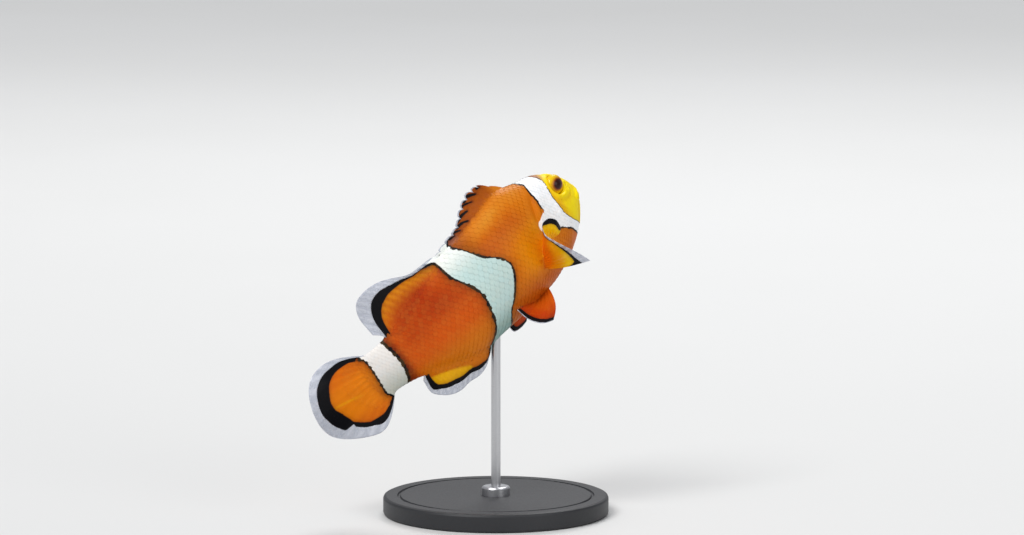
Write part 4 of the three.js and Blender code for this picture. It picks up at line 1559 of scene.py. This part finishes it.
def turned(name, outline, sides, sharp=STAND_SHARP, matrix=Matrix()):
    """A piece turned about its axis from an outline of (radius, height), and its places
    before the matrix. Edges of more than sharp degrees stay sharp."""
    bm = bmesh.new()
    line = [bm.verts.new((radius, 0, height)) for radius, height in outline]
    edges = [bm.edges.new(pair) for pair in zip(line[:-1], line[1:])]
    bmesh.ops.spin(bm, geom=line + edges, cent=(0, 0, 0), axis=(0, 0, 1), dvec=(0, 0, 0),
                   angle=2 * math.pi, steps=sides, use_merge=True, use_duplicate=False)
    bmesh.ops.remove_doubles(bm, verts=bm.verts[:], dist=1e-7)
    face_outward(bm)
    places = places_in(bm)
    bmesh.ops.transform(bm, matrix=matrix, verts=bm.verts[:])
    made = made_object(name, bm)
    made.data.set_sharp_from_angle(angle=math.radians(sharp))
    return made, places


def eye_outline():
    """The eyeball's front, with a raised lens in the pupil, and its round back."""
    line = []
    for i in range(EYE_RINGS + 1):
        turn = math.pi * i / EYE_RINGS
        across = EYE["radius"] * math.sin(turn) if 0 < i < EYE_RINGS else 0
        high = EYE["half_depth"] * math.cos(turn)
        if turn < math.pi / 2:
            from_ring = (across - EYE["ring_radius"]) / EYE["ring_width"]
            high += (EYE["lens"] * math.exp(-(across / EYE["lens_radius"]) ** 4)
                     - EYE["ring"] * math.exp(-from_ring ** 2))
        line.append((across, high))
    return line


def make_eye(name, side, finish):
    station, up = EYE_PLACE
    at = Vector(bent(station, side * side_at(station, up), up))
    outward = (at - Vector(bent(station, 0, up))).normalized()
    above = Vector(bent(station, 0, up + 1)) - Vector(bent(station, 0, up))
    level = above.cross(outward).normalized()
    turn = Matrix((level.cross(outward), level, outward)).transposed()
    matrix = Matrix.Translation(at - outward * EYE["sunk"]) @ turn.to_4x4()
    eye, places = turned(f"eyeball_{name}", eye_outline(), EYE_SIDES, EYE_SHARP, matrix)
    write(eye.data, "eye_place", "FLOAT_VECTOR", places / MM)
    dress(eye, finish, "eye", f"eye_{name}")


def make_stand():
    _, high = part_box("stand_base")
    radius, top, edge, cut = high.x, high.z, BASE_EDGE, BASE_CUT
    groove, bed = radius - GROOVE_IN, top - BASE_GROOVE
    base, _ = turned("stand_base_disc", [
        (0, 0), (radius - edge, 0), (radius - cut, cut), (radius, edge),
        (radius, top - edge), (radius - cut, top - cut), (radius - edge, top),
        (groove, top), (groove - cut, bed), (groove - edge, bed),
        (groove - edge - cut, top), (0, top)], BASE_SIDES)
    low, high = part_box("stand_collar")
    radius, bottom, top = high.x, low.z - COLLAR_SUNK, high.z
    inward, down = COLLAR_CUT
    collar, _ = turned("stand_collar_ring", [
        (0, bottom), (radius, bottom), (radius, top - COLLAR_EDGE),
        (radius - inward, top - down), (radius - COLLAR_EDGE, top), (0, top)], COLLAR_SIDES)
    low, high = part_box("stand_rod")
    rod, _ = turned("stand_rod_bar", [
        (0, low.z), (high.x, low.z), (high.x, high.z), (0, high.z)], ROD_SIDES)
    dress(base, black_coat_finish(), "stand_black", "stand_base")
    dress(collar, steel_finish(), "stand_steel", "stand_collar")
    dress(rod, steel_finish(), "stand_steel", "stand_rod")


# ---------------------------------------------------------------------- room and camera

# Each lamp's name and kind, the direction that it shines from, its strength and settings.
LAMPS = [
    ("key", "SUN", (-0.45, -0.55, 0.85), 2.1, {"angle": math.radians(30)}),
    ("fill", "AREA", (0.9, -0.9, 0.5), 3.5, {"shape": "DISK", "size": 0.8}),
    ("back", "AREA", (0.1, 0.8, 0.9), 5, {"shape": "DISK", "size": 0.6}),
]
SKY, SKY_STRENGTH = (0.93, 0.95, 1, 1), 0.42
FLOOR_SIZE = 9

# The camera is a long lens that looks a little down. The fish's middle shows at a place
# in an image 1024 by 535, and one standard length spans 307.5 of its pixels.
IMAGE_WIDTH, IMAGE_HEIGHT = 1024, 535
PIXELS_PER_LENGTH = 307.5
MIDDLE_SHOWS_AT = (482.5, 281.0)
LENS, SENSOR = 150, 36
LOOK_DOWN = math.radians(7)


def make_lamp(name, kind, towards, strength, settings):
    """A lamp that shines from a direction onto the middle of the fish."""
    lamp = bpy.data.lights.new(name, kind)
    lamp.energy = strength
    for key, value in settings.items():
        setattr(lamp, key, value)
    made = in_scene(name, lamp)
    made.location = Vector(towards) + Vector((0, 0, MIDDLE_HEIGHT))
    made.rotation_euler = Vector(towards).to_track_quat("Z", "Y").to_euler()


def make_room():
    bm = bmesh.new()
    bmesh.ops.create_grid(bm, x_segments=1, y_segments=1, size=FLOOR_SIZE)
    floor = made_object("floor", bm)
    floor.data.materials.append(floor_finish())
    for lamp in LAMPS:
        make_lamp(*lamp)
    world = bpy.data.worlds.new("studio")
    world.use_nodes = True
    sky = world.node_tree.nodes["Background"]
    sky.inputs["Color"].default_value = SKY
    sky.inputs["Strength"].default_value = SKY_STRENGTH
    bpy.context.scene.world = world
    bpy.context.scene.view_settings.view_transform = "Standard"


def make_camera():
    data = bpy.data.cameras.new("camera")
    data.lens = LENS
    data.sensor_width = SENSOR
    camera = in_scene("camera", data)
    bpy.context.scene.camera = camera
    pixel = LENGTH / PIXELS_PER_LENGTH
    away = LENS / SENSOR * IMAGE_WIDTH * pixel
    rightward = Vector((1, 0, 0))
    forward = Vector((0, math.cos(LOOK_DOWN), -math.sin(LOOK_DOWN)))
    above = Vector((0, math.sin(LOOK_DOWN), math.cos(LOOK_DOWN)))
    camera.location = (Vector(bent(SPINE_MIDDLE, 0, 0)) - forward * away
                       + rightward * (IMAGE_WIDTH / 2 - MIDDLE_SHOWS_AT[0]) * pixel
                       - above * (IMAGE_HEIGHT / 2 - MIDDLE_SHOWS_AT[1]) * pixel)
    camera.rotation_euler = (math.pi / 2 - LOOK_DOWN, 0, 0)


make_camera()
make_room()
fins = make_fins()
skin = make_skin(fins)
make_clear_edges(fins)
make_scales(skin, fins)
gloss = eye_finish()
make_eye("left", 1, gloss)
make_eye("right", -1, gloss)
make_stand()
